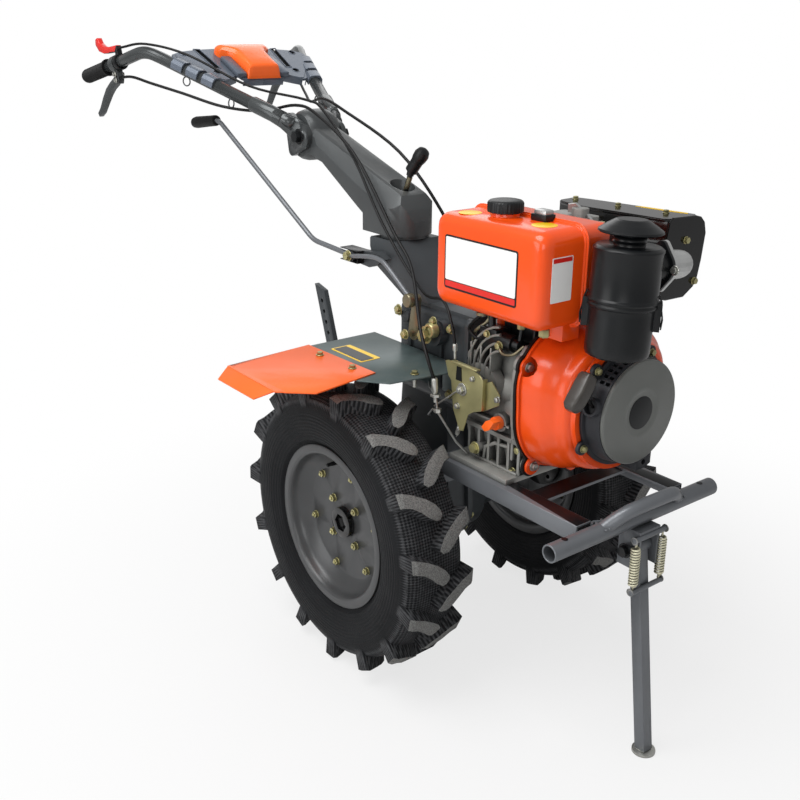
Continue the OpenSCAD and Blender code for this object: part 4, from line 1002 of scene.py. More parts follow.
@dataclass
class FuelTank:
    """Pressed fuel tank with its blank plates, ribbed cap and fuel tap."""

    face_y: float = -185.0  # near face of the tank in millimetres
    face_x: float = 417.0  # front face
    top_z: float = 926.0  # upper face
    filler: Pair = (262.0, -122.0)  # middle of its cap

    def build(self) -> None:
        """Dresses the tank and everything on it."""
        eased("fuel_tank", Look.tank, 1.2, 3)
        self.plates()
        self.cap()
        self.top_fittings()

    def plates(self) -> None:
        """Blank plates: white with a black border and a red band."""
        main = laid((273, self.face_y - 0.05, 845), 90, "X")
        side = laid((self.face_x + 0.05, -143, 851), 90, "Z") @ turned(90, "X")
        for name, finish, place, height, outline, thickness in (
                ("main_plate_border", Look.black_paint, main, 0, (178, 92, 5), 0.6),
                ("main_plate_field", Look.white_plate, main, 0.6, (172, 74, 3, 6), 0.3),
                ("main_plate_band", Look.red_plate, main, 0.6, (172, 10, 2, -37.5), 0.3),
                ("side_plate", Look.white_plate, side, 0, (46, 72, 2), 0.5),
                ("side_plate_band", Look.red_plate, side, 0.5, (42, 7, 1, 31), 0.3)):
            Maker().slab(rounded_outline(*outline), thickness, place @ lifted(height)).piece(name, finish)

    def cap(self) -> None:
        """Filler cap with grip ribs and a domed top."""
        place, rings = at(*self.filler, self.top_z + 6.3), []
        for radius, height in ((28, 0.3), (30.3, 1.2), (30.6, 3), (30.6, 15), (29.4, 17.5), (27, 19.4), (23, 20.4),
                               (12, 20.9), (0.01, 21)):
            ribs = [radius - (0.7 if 2 < height < 16 and k % 4 < 2 else 0.0) for k in range(120)]
            rings.append([place + MM * Vector((r * c, r * s, height)) for r, (c, s) in zip(ribs, circle(120))])
        Maker().loft(rings).piece("ribbed_cap", Look.black_plastic, stands_for="fuel_cap")

    def top_fittings(self) -> None:
        """Round patches, the brackets, and the tap, hose and drain nut under the tank."""
        top, patches = self.top_z, Maker()
        for x, y, r in ((361, -130, 21), (206, -150, 20)):
            patches.lathe([(r, 0.05), (r, 0.4), (r - 0.3, 0.5)], at(x, y, top), UP, 40)
        patches.piece("tank_patches", Look.yellow_plate)
        Maker().box((313, -114, top + 0.1), (347, -91, top + 11)).piece("tank_bracket", Look.black_plastic)
        Maker().box((316, -111, top + 7), (344, -91, top + 18), 3).piece("tank_bracket_cover", Look.bright)
        Maker().slab([(249, 914), (262, 914), (290, 902), (296, 893), (307, 893), (309, 905), (297, 915), (277, 926),
                      (266, 932), (249, 928)], 6, laid((0, 46, 0), 90, "X"), 1.5).piece("head_bracket", Look.bright)
        Maker().tube(route([(214, -122, 764), (212, -124, 744), (196, -126, 728), (184, -124, 712), (200, -122, 700),
                            (216, -120, 702)], 6), 3.4).piece("fuel_hose", Look.rubber)
        Maker().lathe([(11, 0), (11, 5), (8, 6), (8, 16), (10, 17), (10, 20)], at(214, -122, 745), UP, 20).piece(
            "fuel_tap", Look.brass)
        Maker().lathe([(8, -8), (9.5, -6), (9.5, 4), (8, 6)], at(384, -140, 757), UP, 6).piece(
            "tank_drain_nut", Look.yellow_zinc)


@dataclass
class Engine:
    """Air-cooled engine: castings, shroud, starter, air cleaner, muffler and governor."""

    crank_z: float = 615.0  # height of the crankshaft in millimetres
    case_y: float = -118.0  # where the bolts of the crankcase's right side sit
    head_z: float = 893.2  # where the head's bolts sit
    rib_middle: Pair = (276.0, 640.0)  # middle of the curved ribs, (X, Z)
    plate_y: Triple = (-150.0, -140.0, -152.3)  # inner faces of the governor's plates and of the black patch painted as its slot's shade
    shield_z: float = 904.0  # underside of the muffler shield's top
    flange_x: float = 336.0  # back face of the fan shroud
    flange_tabs: tuple[Pair, ...] = ((-128, 68), (-104, -121), (104, -104), (0, -140))  # its ears, from the crankshaft
    recoil_tabs: tuple[Pair, ...] = ((-76, 79), (59, 86), (-97, -53), (84, -70))  # ears of the recoil starter
    volute: tuple[Pair, ...] = (  # angle and radius of the shroud's outline
        (0, 162), (15, 175), (28, 178), (42, 164), (60, 146), (90, 138), (118, 146), (140, 155), (158, 156),
        (180, 147), (204, 152), (226, 153), (248, 143), (270, 136), (300, 136), (330, 146))
    front_circle: float = 114.0  # radius of the shroud's front opening
    depths: tuple[Triple, ...] = (  # depth, growth and share of the front circle
        (4, -4, 0), (26, -5, 0), (44, -8, 0.02), (58, -13, 0.10), (70, -17, 0.26), (80, -14, 0.46), (88, -6, 0.70),
        (93, 0, 0.92), (95, 0, 1), (104, 0, 1))

    def build(self) -> None:
        """Builds every group of the engine."""
        FuelTank().build()
        self.castings()
        self.shroud()
        self.starter()
        self.air_cleaner()
        self.muffler()
        self.governor()
        self.small_parts()

    def castings(self) -> None:
        """Crankcase and cylinder with bolts, bosses and ribs."""
        eased("crankcase", Look.cast, 1.6)
        eased("cylinder", Look.cast, 0.9)
        ribs = Maker()
        for x in (186, 212, 238, 316):
            ribs.box((x, -123, 640), (x + 4, -94, 690), 1.2)
        ribs.box((200, -128, 556), (300, -116, 561), 1.5).box((306, -128, 500), (312, -112, 640), 1.5)
        ribs.box((178, -127, 470), (322, -114, 478), 1.5)
        middle_x, middle_z = self.rib_middle
        for radius in (52, 66, 80, 94):
            ribs.tube([at(middle_x + radius * math.cos(a), -121, middle_z + radius * math.sin(a))
                       for a in (math.radians(100 + 9 * k) for k in range(11))], 2.6, 10)
        ribs.tube([at(322, -121, z) for z in (474, 520, 566, 612, 680)], 3.4, 10)
        ribs.tube(route([(232, -121, 474), (236, -122, 500), (262, -122, 516), (300, -121, 520)]), 4, 10)
        for x in range(182, 322, 20):
            ribs.tube([at(x, 101 * math.cos(a), self.crank_z + 101 * math.sin(a))
                       for a in (math.radians(-48 + 6 * k) for k in range(21))], 2.2, 8)
        ribs.box((204, 104, 486), (300, 113, 574), 3)
        for x, z in ((176, 520), (322, 520), (176, 585), (322, 640)):
            ribs.box((x - 3, 88, z - 40), (x + 3, 108, z + 24), 1.5)
        ribs.piece("crankcase_ribs", Look.cast)
        Maker().box((316, -98, 690), (322, -20, 758)).box((230, -84, 704), (316, -40, 752), 5).piece(
            "air_guide", Look.black_paint)
        bolts = Maker().bolts(RIGHT, [(x, self.case_y, z) for x, z in (
            (318, 655), (318, 590), (318, 520), (188, 470), (250, 470), (306, 474), (186, 560), (176, 620))], 11)
        bolts.bolts(UP, [(x, y, self.head_z) for x, y in ((210, 5), (300, 5), (210, 75), (300, 75))], 11)
        bolts.bolt(at(222, -134.2, 496), RIGHT, 15)
        bolts.bolts(LEFT, [(x, 113.1, z) for x, z in ((212, 494), (292, 494), (212, 566), (292, 566))], 10)
        bolts.piece("crankcase_bolts", Look.yellow_zinc)
        Maker().lathe([(22, 0), (22, 4), (17, 7), (17, 12), (12, 14), (0, 14)], at(216, -122.2, 610), RIGHT).piece(
            "governor_boss", Look.cast)

    def shroud_ring(self, depth: float, growth: float, share: float) -> list[Vector]:
        """Shroud outline at one depth.

        Args:
            depth: millimetres in front of the flange.
            growth: how far the outline grows.
            share: how far it is drawn towards the front circle.

        Returns:
            The ring.
        """
        ring, count = [], len(self.volute)
        for i, (angle, _) in enumerate(self.volute):
            radii = [self.volute[(i + k) % count][1] for k in (-1, 0, 1, 2)]
            after = self.volute[(i + 1) % count][0] or 360
            for k in range(8):
                a = math.radians(angle + (after - angle) * k / 8)
                r = (1 - share) * (between(radii, k / 8) + growth) + share * self.front_circle
                ring.append(at(self.flange_x + depth, r * math.cos(a), self.crank_z + r * math.sin(a)))
        return ring

    def shroud(self) -> None:
        """Fan shroud, its gasket and the bolts in its ears."""
        rows, last = [(0.5, -5.5, 0), (1.2, -4.6, 0)], len(self.depths) - 1
        for i in range(last):
            near = [self.depths[max(0, min(last, i + k))] for k in (-1, 0, 1, 2)]
            rows += [tuple(between(column, k / 4) for column in zip(*near)) for k in range(4)]
        body = Maker().loft([self.shroud_ring(*row) for row in (*rows, self.depths[-1])])
        body.loft([self.shroud_ring(*row) for row in ((0, 0.4, 0), (0.2, 0.9, 0), (4, 1.2, 0), (5, 0.4, 0))])
        made = body.piece("smooth_shroud", Look.shroud, smooth=38, stands_for="fan_shroud")
        carve(made, Maker().lathe([(18, 0), (17.5, 6), (15, 14), (9, 22), (0, 25)],
                                  at(341, -132, self.crank_z + 70), FRONT, 40), Look.shroud)
        ears, bolts = Maker(), Maker()
        for y, z in self.flange_tabs:
            place = at(self.flange_x, y, self.crank_z + z)
            ears.lathe([(16.2, 0), (17, 0.8), (17, 4.4), (16.2, 5.2)], place, FRONT)
            bolts.bolt(place + 5.2 * MM * FRONT, FRONT, 12, 9)
        ears.piece("shroud_ears", Look.shroud, stands_for="fan_shroud")
        dress("shroud_gasket", Look.rubber)
        bolts.piece("shroud_bolts", Look.zinc)

    def starter(self) -> None:
        """Recoil starter: slotted housing, disc cover with its blank round plate, handle and rope."""
        eased("recoil_housing", Look.housing, 0.7)
        eased("recoil_cover", Look.disc)
        Maker().lathe([(29, 0.05), (29, 0.6), (28, 0.9), (0, 0.9)], at(482, 0, self.crank_z), FRONT, 64).piece(
            "round_plate", Look.black_plastic)
        Maker().lathe([(85, 0), (86, 1), (86, 24), (85, 25), (0, 25)], at(445, 0, self.crank_z), FRONT, 64).piece(
            "fan_screen", Look.black_plastic)
        Maker().bolts(FRONT, [(446.2, y, self.crank_z + z) for y, z in self.recoil_tabs], 10, 7).piece(
            "recoil_bolts", Look.yellow_zinc)
        self.handle()

    def handle(self) -> None:
        """Starter handle with its waist and the stub of rope."""
        upper, lower = at(458, -108, 699), at(458, -148, 645)
        across = FRONT.cross((lower - upper).normalized())
        bulge = 0.4  # power that squares the round section
        squared = [[math.copysign(abs(v) ** bulge, v) for v in point] for point in circle(28)]
        rings = []
        for share, half_x, half_across, lift in ((0, 8, 9, 0), (0.03, 11, 12, 0), (0.12, 13, 14, 0), (0.3, 14, 14, 0.5),
                                                 (0.5, 14.4, 13.4, 1), (0.7, 14, 14, 0.5), (0.88, 13, 13, 0),
                                                 (0.97, 10, 9, 0), (1, 8, 6, 0)):
            centre = upper.lerp(lower, share) + Vector((lift * MM, 0, 0))
            rings.append([centre + MM * (Vector((half_x * c, 0, 0)) + across * half_across * s) for c, s in squared])
        Maker().loft(rings).piece("starter_handle", Look.starter_grip, smooth=32, stands_for="recoil_handle")
        Maker().tube(route([(458, -124, 668), (459, -112, 660), (460, -96, 640)]), 3.0).piece(
            "starter_rope", Look.rubber, stands_for="recoil_handle")

    def air_cleaner(self) -> None:
        """Air cleaner with its clips, tab, cap and intake elbow."""
        eased("air_cleaner", Look.black_paint, 0.8)
        dress("air_cleaner_cap", Look.black_paint)
        dress("intake_elbow", Look.bright)
        lean, clips = laid((478, -72, 730), -3), Maker()
        for angle in (39, 219):
            turn = lean @ turned(angle, "Z")
            sweep = [[(x, y, z) for x, z in ((62.6, 50), (63.6, 66), (60.6, 80), (60.2, 90), (56.6, 99), (54.8, 101))]
                     for y in (-9, 9)]
            for points in (*sweep, [(54.9, y, 101) for y in range(-9, 10, 3)]):
                clips.tube([turn @ Vector([v * MM for v in point]) for point in points], 1.2, 8)
        clips.piece("cleaner_wire_clips", Look.black_paint)
        Maker().box((-46, 6, 150.2), (-20, 30, 160), 1, lean).piece("cleaner_tab", Look.rail)
        port, bolts = lean @ Matrix.Translation((0, 84 * MM, 136 * MM)), Maker()
        for x in (-33, 33):
            bolts.bolt(port @ Vector((x * MM, -6.2 * MM, 0)), port.to_3x3() @ RIGHT, 10)
        bolts.piece("intake_bolts", Look.zinc)

    def muffler(self) -> None:
        """Muffler and its glossy shield: top with a rear hood, near wall and front plate."""
        eased("muffler", Look.black_paint)
        top = [(131, 145), (145, 134), (200, 123), (290, 131.6), (384, 140), (392, 146), (394, 214), (388, 223),
               (280, 210), (159, 195), (136, 190), (128, 182)]
        shell = Maker().slab(top, 5, laid((0, 0, self.shield_z)), 1.5)
        shell.slab([(x + (3 if x < 260 else -3) * 0.9, y) for x, y in top], 2, laid((0, 0, self.shield_z + 4.5)), 0.9)
        for (x0, y0), (x1, y1) in (((131, 147), (200, 125)), ((200, 125), (389, 142)), ((131, 147), (129, 181)),
                                   ((129, 181), (158, 194)), ((158, 194), (388, 222))):
            along = at(x1, y1, 0) - at(x0, y0, 0)
            shell.box((-1, -1.2, 836 if y0 < 180 else 880), (along.length / MM + 1, 1.2, 906), 0.8,
                      laid((x0, y0, 0), math.degrees(math.atan2(along.y, along.x)), "Z"))
        face = [(124, 786), (134, 770), (150, 766), (199, 765), (224, 780), (233, 792), (240, 829), (245, 877),
                (239, 897), (228, 907), (212, 911), (150, 913), (140, 905), (138, 892), (132, 860), (124, 830)]
        shell.slab(face, 5, laid((391, 0, 0), 90, "Y") @ turned(90, "Z"), 1.5)
        shell.piece("shield_shell", Look.shield, smooth=30, stands_for="muffler_shield")
        bolts = Maker().bolts(FRONT, [(396.1, 188, 870), (396.1, 223, 792)], 10, 7)
        bolts.bolts(UP, [(150, 168, 910.6), (250, 174, 910.6), (350, 186, 910.6)], 9, 6)
        bolts.piece("shield_bolts", Look.yellow_zinc)
        strip = Maker().slab([(270, 199), (330, 206), (376, 213), (372, 220), (280, 208.5)], 0.5,
                             laid((0, 0, self.shield_z + 6.5)), 0.1)
        strip.piece("shield_strip", Look.yellow_plate)

    def governor(self) -> None:
        """Governor plates with folded edges, their bolts, a black patch painted as the shade of a slot, the spring and
        its link.
        """
        flat, wing, slot = (laid((0, y, 0), 90, "X") for y in self.plate_y)
        plates = Maker().slab([(153, 650), (161, 653), (176, 652), (179, 658), (210, 656), (244, 648), (254, 640),
                               (253, 581), (232, 573), (218, 563), (206, 528), (197, 526), (178, 562), (170, 617),
                               (162, 624)], 2.4, flat, 0.6)
        plates.slab([(241, 617), (248, 631), (267, 639), (288, 619), (287, 600), (247, 576)], 2.4, wing, 0.6)
        plates.box((176, -160, 655), (246, -150, 657.4), 0.6).box((252, -152, 582), (254.4, -140, 640), 0.6)
        plates.box((212, -150, 598), (228, -118, 614), 2)
        plates.piece("governor_sheets", Look.yellow_zinc, smooth=30, stands_for="governor_plate")
        bolts = Maker().bolt(at(202, -152.5, 608), RIGHT, 14, 12, 3).bolt(at(285, -142.5, 611), RIGHT, 9, 6)
        bolts.bolt(at(191, -152.5, 573), RIGHT, 9, 6).bolt(at(230, -152.5, 636), RIGHT, 8, 5)
        bolts.piece("governor_bolts", Look.zinc)
        # painted shade: a flat black patch stands for the dark opening of a slot in the plate
        Maker().slab([(186, 648), (198, 648), (200, 622), (184, 622)], 1.2, slot, 0.3).piece(
            "governor_slot_shade", Look.black_paint)
        spring = Maker().coil(at(196, -146, 552), at(170, -136, 500), 3.6, 0.8, 14)
        spring.tube(route([(188, -155, 600), (170, -158, 585), (140, -166, 560)]), 1.6, 8)
        spring.piece("governor_spring", Look.zinc)

    def small_parts(self) -> None:
        """Injection pump, fuel pipes and the dipstick."""
        eased("injection_pump", Look.black_paint)
        eased("dipstick", Look.orange_plastic, 1.2, 3)
        pipes = Maker()
        for radius, points in (
                (3, [(298, -107, 746), (300, -104, 762), (306, -60, 764), (306, -8, 770), (290, 0, 800)]),
                (3.2, [(222, -106, 748), (216, -112, 730), (196, -118, 712), (182, -112, 690), (186, -108, 668)]),
                (2.6, [(262, -124, 700), (276, -128, 690), (300, -126, 694), (318, -118, 712)])):
            pipes.tube(route(points, 6), radius, 10)
        pipes.piece("fuel_pipes", Look.brass)
        nuts = Maker()
        for place in ((298, -107, 742), (222, -106, 744)):
            nuts.lathe([(7, -6), (7.4, -5), (7.4, 5), (7, 6)], at(*place), UP, 6)
        nuts.bolt(at(262, -122.2, 700), RIGHT, 11).bolt(at(230, -122.2, 714), RIGHT, 9)
        nuts.piece("pipe_nuts", Look.yellow_zinc)


@dataclass
class SideControls:
    """Controls on the chassis: side lever, shift lever and the cables' ends."""

    grip_from: Triple = (-702, -147, 1011)  # foot of the side lever's sleeve
    grip_to: Triple = (-797, -154, 1000)
    bracket_z: float = 777.0  # middle of the side lever's bracket

    def build(self) -> None:
        """Dresses the levers and adds what hangs on them."""
        eased("side_lever", Look.rail, 0)
        eased("shift_linkage", Look.brass, 0.8)
        Maker().lathe([(6, -6), (13, -4), (14, 0), (14, 8), (12, 11), (0, 12)], at(24, -133, 732), RIGHT, 28).piece(
            "shift_knob", Look.brass)
        foot, tip = at(*self.grip_from), at(*self.grip_to)
        Maker().lathe([(7, -5), (11.5, -3.4), (12.4, 0), (12.6, 30), (13.2, 60), (13.6, 84), (12, 93), (8, 96.4),
                       (0, 97.5)], foot, tip - foot, 24).piece("side_lever_knob", Look.rubber)
        bracket, z = Maker(), self.bracket_z
        for low in (z - 13, z + 11):
            bracket.box((-232, -120, low), (-170, -88, low + 2), 0.8)
        bracket.box((-172, -120, z - 11), (-170, -88, z + 11), 0.8).piece("side_lever_bracket", Look.black_paint)
        link = Maker().lathe([(0, 0), (10, 0), (10.6, 0.6), (10.6, 3.6), (10, 4.2), (0, 4.2)], at(-198, -118.2, z),
                             RIGHT, 24)
        link.tube(route([(-194, -120.6, z), (-160, -124, 783), (-112, -129, 791), (-78, -132, 792), (-48, -134, 783),
                         (22, -137, 741)], 6), 4.6, 14).piece("shift_rod", Look.rail)
        bolts = Maker().bolt(at(-198, -122.4, z), RIGHT, 15).bolt(at(17, -139.2, 664), RIGHT)
        bolts.bolt(at(-34, -116.2, 700), RIGHT, 12).piece("lever_bolts", Look.yellow_zinc)
        ends = Maker()
        ends.lathe([(3.6, 0), (4.4, 2), (4.4, 12), (2.6, 16), (2.6, 28)], at(178, -152, 688), Vector((0.04, 0, -1)), 14)
        ends.lathe([(5, 0), (6, 3), (6, 24), (3.4, 30), (3.4, 46)], at(160, -183, 624), Vector((0.04, 0.02, -1)), 14)
        ends.lathe([(9, 0), (9.5, 1), (9.5, 4), (9, 5)], at(162, -182, 594), -UP, 6)
        ends.lathe([(7, 0), (7.5, 1), (7.5, 6), (7, 7)], at(166, -180, 566), -UP, 6)
        ends.piece("cable_ferrules", Look.zinc)
        rod = Maker()
        for radius, sides, points in (
                (2.4, 10, [(161, -183, 606), (166, -180, 560), (188, -152, 500), (200, -135, 478)]),
                (1.6, 8, [(162, -182, 592), (140, -178, 600), (126, -168, 604)]),
                (1.8, 8, [(150, -178, 560), (128, -170, 540), (110, -150, 528)])):
            rod.tube(route(points), radius, sides)
        rod.piece("clutch_rod", Look.steel)


@dataclass
class Column:
    """Swivelling column with its hood and gear lever."""

    knob_from: Triple = (-116, -25, 950)  # foot and tip of the gear lever's knob
    knob_to: Triple = (-88, -20, 985)
    gate: Triple = (-137, -30, 896)  # middle of the rim that the gear lever comes through

    def build(self) -> None:
        """Dresses the hood and the gear lever."""
        eased("column_hood", Look.hood, 2.2, 3)
        dress("gear_lever", Look.black_plastic)
        Maker().tube(route([(-137, -30, 884), (-128, -28, 912), (-117, -26.5, 938)]), 5.4, 14).piece(
            "gear_lever_rod", Look.brass, "column")
        foot, tip = at(*self.knob_from), at(*self.knob_to)
        Maker().lathe([(6, -4), (8, 0), (10, 14), (14.5, 34), (15.2, 44), (12, 53), (6, 57), (0, 58)], foot, tip - foot,
                      28).piece("gear_lever_knob", Look.black_plastic, "column")
        Maker().lathe([(25.4, 0), (27, 0.4), (27.6, 1.6), (26.5, 2.6), (25.4, 2.2)], at(*self.gate),
                      Vector((0.31, 0, 0.95)), 40).piece("gear_gate_rim", Look.rubber, "column")


@dataclass
class Cable:
    """One control cable in two lengths that meet on the column."""

    name: str
    radius: float  # in millimetres
    held: int  # index of the point where the two lengths meet
    points: tuple[Triple, ...]  # what it passes, from the handlebar to the chassis

    def build(self) -> None:
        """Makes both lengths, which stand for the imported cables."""
        path, cut = route(self.points, 6), self.held * 6
        for end, part, bodies, start, stop in (
                ("_upper", path[:cut + 1], ("handlebar", "column"), (-560, -30, 1060), (-380, -30, 1010)),
                ("_lower", path[cut:], ("column", "chassis"), (-150, -30, 900), (40, -30, 740))):
            made = Maker().tube(part, self.radius).piece(self.name + end, Look.rubber, "")
            tuple(at(*start))
            tuple(at(*stop))
            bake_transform(made)
            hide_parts("control_cables")


@dataclass
class Handlebar:
    """Handlebar with its panel, cover, grips, levers and cables."""

    grip_from: Triple = (-1013.6, -268.8, 1121.5)  # inner end of the right grip, from the axle
    grip_to: Triple = (-1137.0, -280.0, 1095.0)  # its outer end
    tube_from: Triple = (-480, -96, 1027)  # straight run of the right tube
    tube_to: Triple = (-812, -220, 1147)
    middle_y: float = -30.0  # middle plane of the handlebar
    slope: float = 24.5  # fall of the panel in degrees
    throttle_ring: float = 32.0  # radius within which the throttle lever is its black clamp
    screw_out: float = 8.2  # how far the lever screws stand off the lever's middle
    perch: float = 40.0  # distance of the levers' holders from the grips
    pivot: Triple = (-436.0, 56.2, 993.0)  # tilt pivot bolt: X, distance from the middle plane, Z

    def both(self, point: Triple, side: int) -> Vector:
        """A right-hand point, or its mirror image for side 1."""
        return at(point[0], point[1] if side < 0 else 2 * self.middle_y - point[1], point[2])

    def tube_axes(self, side: int) -> tuple[Vector, Vector, Vector, Vector]:
        """Where one tube lies.

        Args:
            side: -1 for the right tube, 1 for the left.

        Returns:
            Its start, its direction, the direction up from it and the one across it.
        """
        start, end = self.both(self.tube_from, side), self.both(self.tube_to, side)
        along = (end - start).normalized()
        up = (UP - along * along.z).normalized()
        return start, along, up, along.cross(up)

    def build(self) -> None:
        """Builds every group of the handlebar."""
        eased("handlebar_tubes", Look.tube, 0)
        eased("hand_levers", Look.tube, 2.0, 3)
        start, end = self.both(self.grip_from, -1), self.both(self.grip_to, -1)
        along = (end - start).normalized()
        eased("throttle_lever", Look.red_plastic, 1.4, 2, Look.black_plastic, lambda centre, normal: (
            centre - start - along * (centre - start).dot(along)).length < self.throttle_ring * MM)
        place = laid((-680, self.middle_y, 1101), self.slope, "Y")  # X down the panel's slope, Z out of its face
        self.panel(place)
        self.straps()
        self.cover(place)
        self.shoulders()
        self.grips()
        pins = Maker()
        for side in SIDES:
            pins.bolt(at(self.pivot[0], self.middle_y + side * self.pivot[1], self.pivot[2]), LEFT * side, 22, 17)
        pins.piece("tilt_pivot_bolts", Look.black_plastic, "handlebar")
        self.clamps(along)
        self.cables()

    def panel(self, place: Matrix) -> None:
        """Pressed panel with its slots, holes and turned edges.

        Args:
            place: where the panel lies.
        """
        half = [(-144, 0), (-145, -60), (-142, -100), (-133, -150), (-120, -176), (-108, -181), (-60, -160),
                (-20, -138), (12, -116), (15, -108), (12, -98), (-8, -66), (-10, -60), (4, -56), (7, -50), (7, 0)]
        outline = half + [(x, -y) for x, y in half[-2:0:-1]]
        made, cutter, rims = Maker().slab(outline, 6, place, 1.5), Maker(), Maker()
        made.slab([(x * 0.95 - 3.5, y * 0.95) for x, y in outline], 1.6, place @ lifted(5.5), 1)
        for side in SIDES:
            made.box((-86, side * 57 - 13, 5), (3, side * 57 + 13, 18), 4, place)
            for x0, y0, x1, y1 in ((7, 0, 7, 54), (-9, 64, 13, 104), (15, 112, -20, 138), (-145, 0, -145, 62),
                                   (-144, 66, -140, 104)):
                start, end = Vector((x0, side * y0, 0)), Vector((x1, side * y1, 0))
                along = end - start
                made.box((0, -1.2, -12), (along.length, 1.2, 3), 0.8, place @ Matrix.Translation(start * MM)
                         @ turned(math.degrees(math.atan2(along.y, along.x)), "Z"))
            slot = [(-141, side * 112), (-139, side * 96), (-44, side * 88), (-42, side * 103)]
            cutter.slab(slot[::side], 9, place @ lifted(3))  # corners in the same turn on both sides
            for x, y in ((-119, side * 148), (-27, side * 106)):
                cutter.lathe([(7.5, 0), (7.5, 9)], place @ Vector((x * MM, y * MM, 0.003)), place.to_3x3() @ UP, 28)
                rims.tube([place @ (MM * Vector((x + 8.6 * c, y + 8.6 * s, 7.1))) for c, s in circle(28)], 1.2, 6, True)
            for a, b in zip(slot, slot[1:] + slot[:1]):
                rims.tube([place @ (MM * Vector((*corner, 7.1))) for corner in (a, b)], 1.5, 8)
        panel = made.piece("pressed_panel", Look.console, "handlebar", 40, "control_panel")
        # painted shade: the walls cut inside the slots and holes are black, not the panel's paint
        carve(panel, cutter, Look.black_plastic)
        rims.piece("panel_rims", Look.console, "handlebar", stands_for="control_panel")

    def straps(self) -> None:
        """Straps that hold the panel on the tubes."""
        straps = Maker()
        for side in SIDES:
            start, along, up, over = self.tube_axes(side)
            for middle in (216, 265, 312):
                rings = []
                for h, grow in ((-17, -0.6), (-16.2, 0), (16.2, 0), (17, -0.6)):
                    centre = start + along * (middle + h) * MM
                    outer = [(-18 - grow, -4), (-18 - grow, 8), (-13, 15.5 + grow), (-8, 17.6 + grow), (8, 17.6 + grow),
                             (13, 15.5 + grow), (18 + grow, 8), (18 + grow, -4), (15.2, -6), (14.8, 2), (10, 11),
                             (0, 14.6), (-10, 11), (-14.8, 2), (-15.2, -6)]
                    rings.append([centre + MM * (over * a + up * b) for a, b in outer])
                straps.loft(rings)
        straps.piece("tube_straps", Look.console, "handlebar", 25, "control_panel")

    def cover(self, place: Matrix) -> None:
        """Saddle-shaped cover over the panel's middle, broad behind and narrow in front.

        Args:
            place: where the panel lies.
        """
        rings = []
        for x, foot, top, height in ((-128, 58, 52, 3), (-127, 63, 58, 13), (-123, 67, 60, 20), (-114, 69, 60, 25),
                                     (-102, 68, 58, 28), (-95, 63, 52, 30), (-88, 54, 44, 31), (-78, 46, 38, 32),
                                     (-60, 43, 36, 32), (-34, 42, 36, 31), (-8, 42, 37, 30), (-3, 42, 37, 28.5),
                                     (1, 42.5, 38, 24), (6, 43.5, 39.5, 7), (9, 44, 40, 0.5)):
            half = [(foot, 0.2), (foot, 0.45 * height), (foot - 1.5, 0.7 * height), (top + 1, 0.9 * height),
                    (top - 4, 0.985 * height), (top - 10, height)]
            section = [*((-y, z) for y, z in half), (0, height * 1.02), *half[::-1]]
            rings.append([place @ (MM * Vector((x, y, 6.3 + z))) for y, z in section])
        Maker().loft(rings).piece("saddle_cover", Look.cover, "handlebar", 32, "panel_cover")

    def shoulders(self) -> None:
        """Flattened shoulders where the tubes run into the pivot ears."""
        for name, side in (("ear_shoulder_right", -1), ("ear_shoulder_left", 1)):
            start, along, up, over = self.tube_axes(side)
            rows = [(start + along * reach, high, wide) for reach, high, wide in (
                (0.092, 15.6, 15.6), (0.088, 17.2, 17.2), (0.030, 17.2, 17.0))]
            rows += [(self.both(point, side), high, wide) for point, high, wide in (
                ((-482, -96, 1025), 18, 16), ((-470, -89, 1017), 21, 13), ((-458, -82, 1008), 25, 9.6),
                ((-446, -77.5, 1000), 27, 7.4), ((-438, -76, 996), 26, 5.8))]
            Maker().loft([[centre + MM * (over * wide * c + up * high * s) for c, s in circle(32)]
                          for centre, high, wide in rows]).piece(name, Look.tube, "handlebar", 45)

    def grips(self) -> None:
        """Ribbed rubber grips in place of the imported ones."""
        for name, side in (("ribbed_grip_right", -1), ("ribbed_grip_left", 1)):
            start, end = self.both(self.grip_from, side), self.both(self.grip_to, side)
            length, ribs = (end - start).length / MM, 26
            profile = [(13.0, 0), (19.5, 0.2), (20.4, 1.5), (20.4, 4.5), (18.0, 7.5)]
            for k in range(ribs):
                h = 10 + (length - 22) * k / ribs
                profile += [(17.6, h), (16.6, h + 1.2), (16.6, h + 2.2), (17.6, h + 3.4)]
            profile += [(17.4, length - 8), (16, length - 3), (12, length - 0.6), (0, length)]
            Maker().lathe(profile, start, end - start, 28).piece(name, Look.rubber, "handlebar", stands_for="grips")

    def clamps(self, along: Vector) -> None:
        """Lever screws and the second cable eye.

        Args:
            along: direction of the right grip.
        """
        screws = Maker()
        for side in SIDES:
            direction = Vector((along.x, -side * along.y, along.z))
            perch = self.both(self.grip_from, side) - direction * self.perch * MM
            down = (direction * direction.z - UP).normalized()
            for reach, way, across in ((0.024, side, 9), (0.024, -side, 9), (0.038, side, 8)):
                screws.bolt(perch + down * reach + LEFT * way * self.screw_out * MM, LEFT * way, across)
        screws.piece("lever_screws", Look.zinc, "handlebar")
        centre = at(-742, -195, 1098)
        Maker().tube([centre + MM * 10 * Vector((c * 0.9, c * 0.42, s)) for c, s in circle(24)], 1.6, 8, True).piece(
            "second_cable_eye", Look.tube, "handlebar")

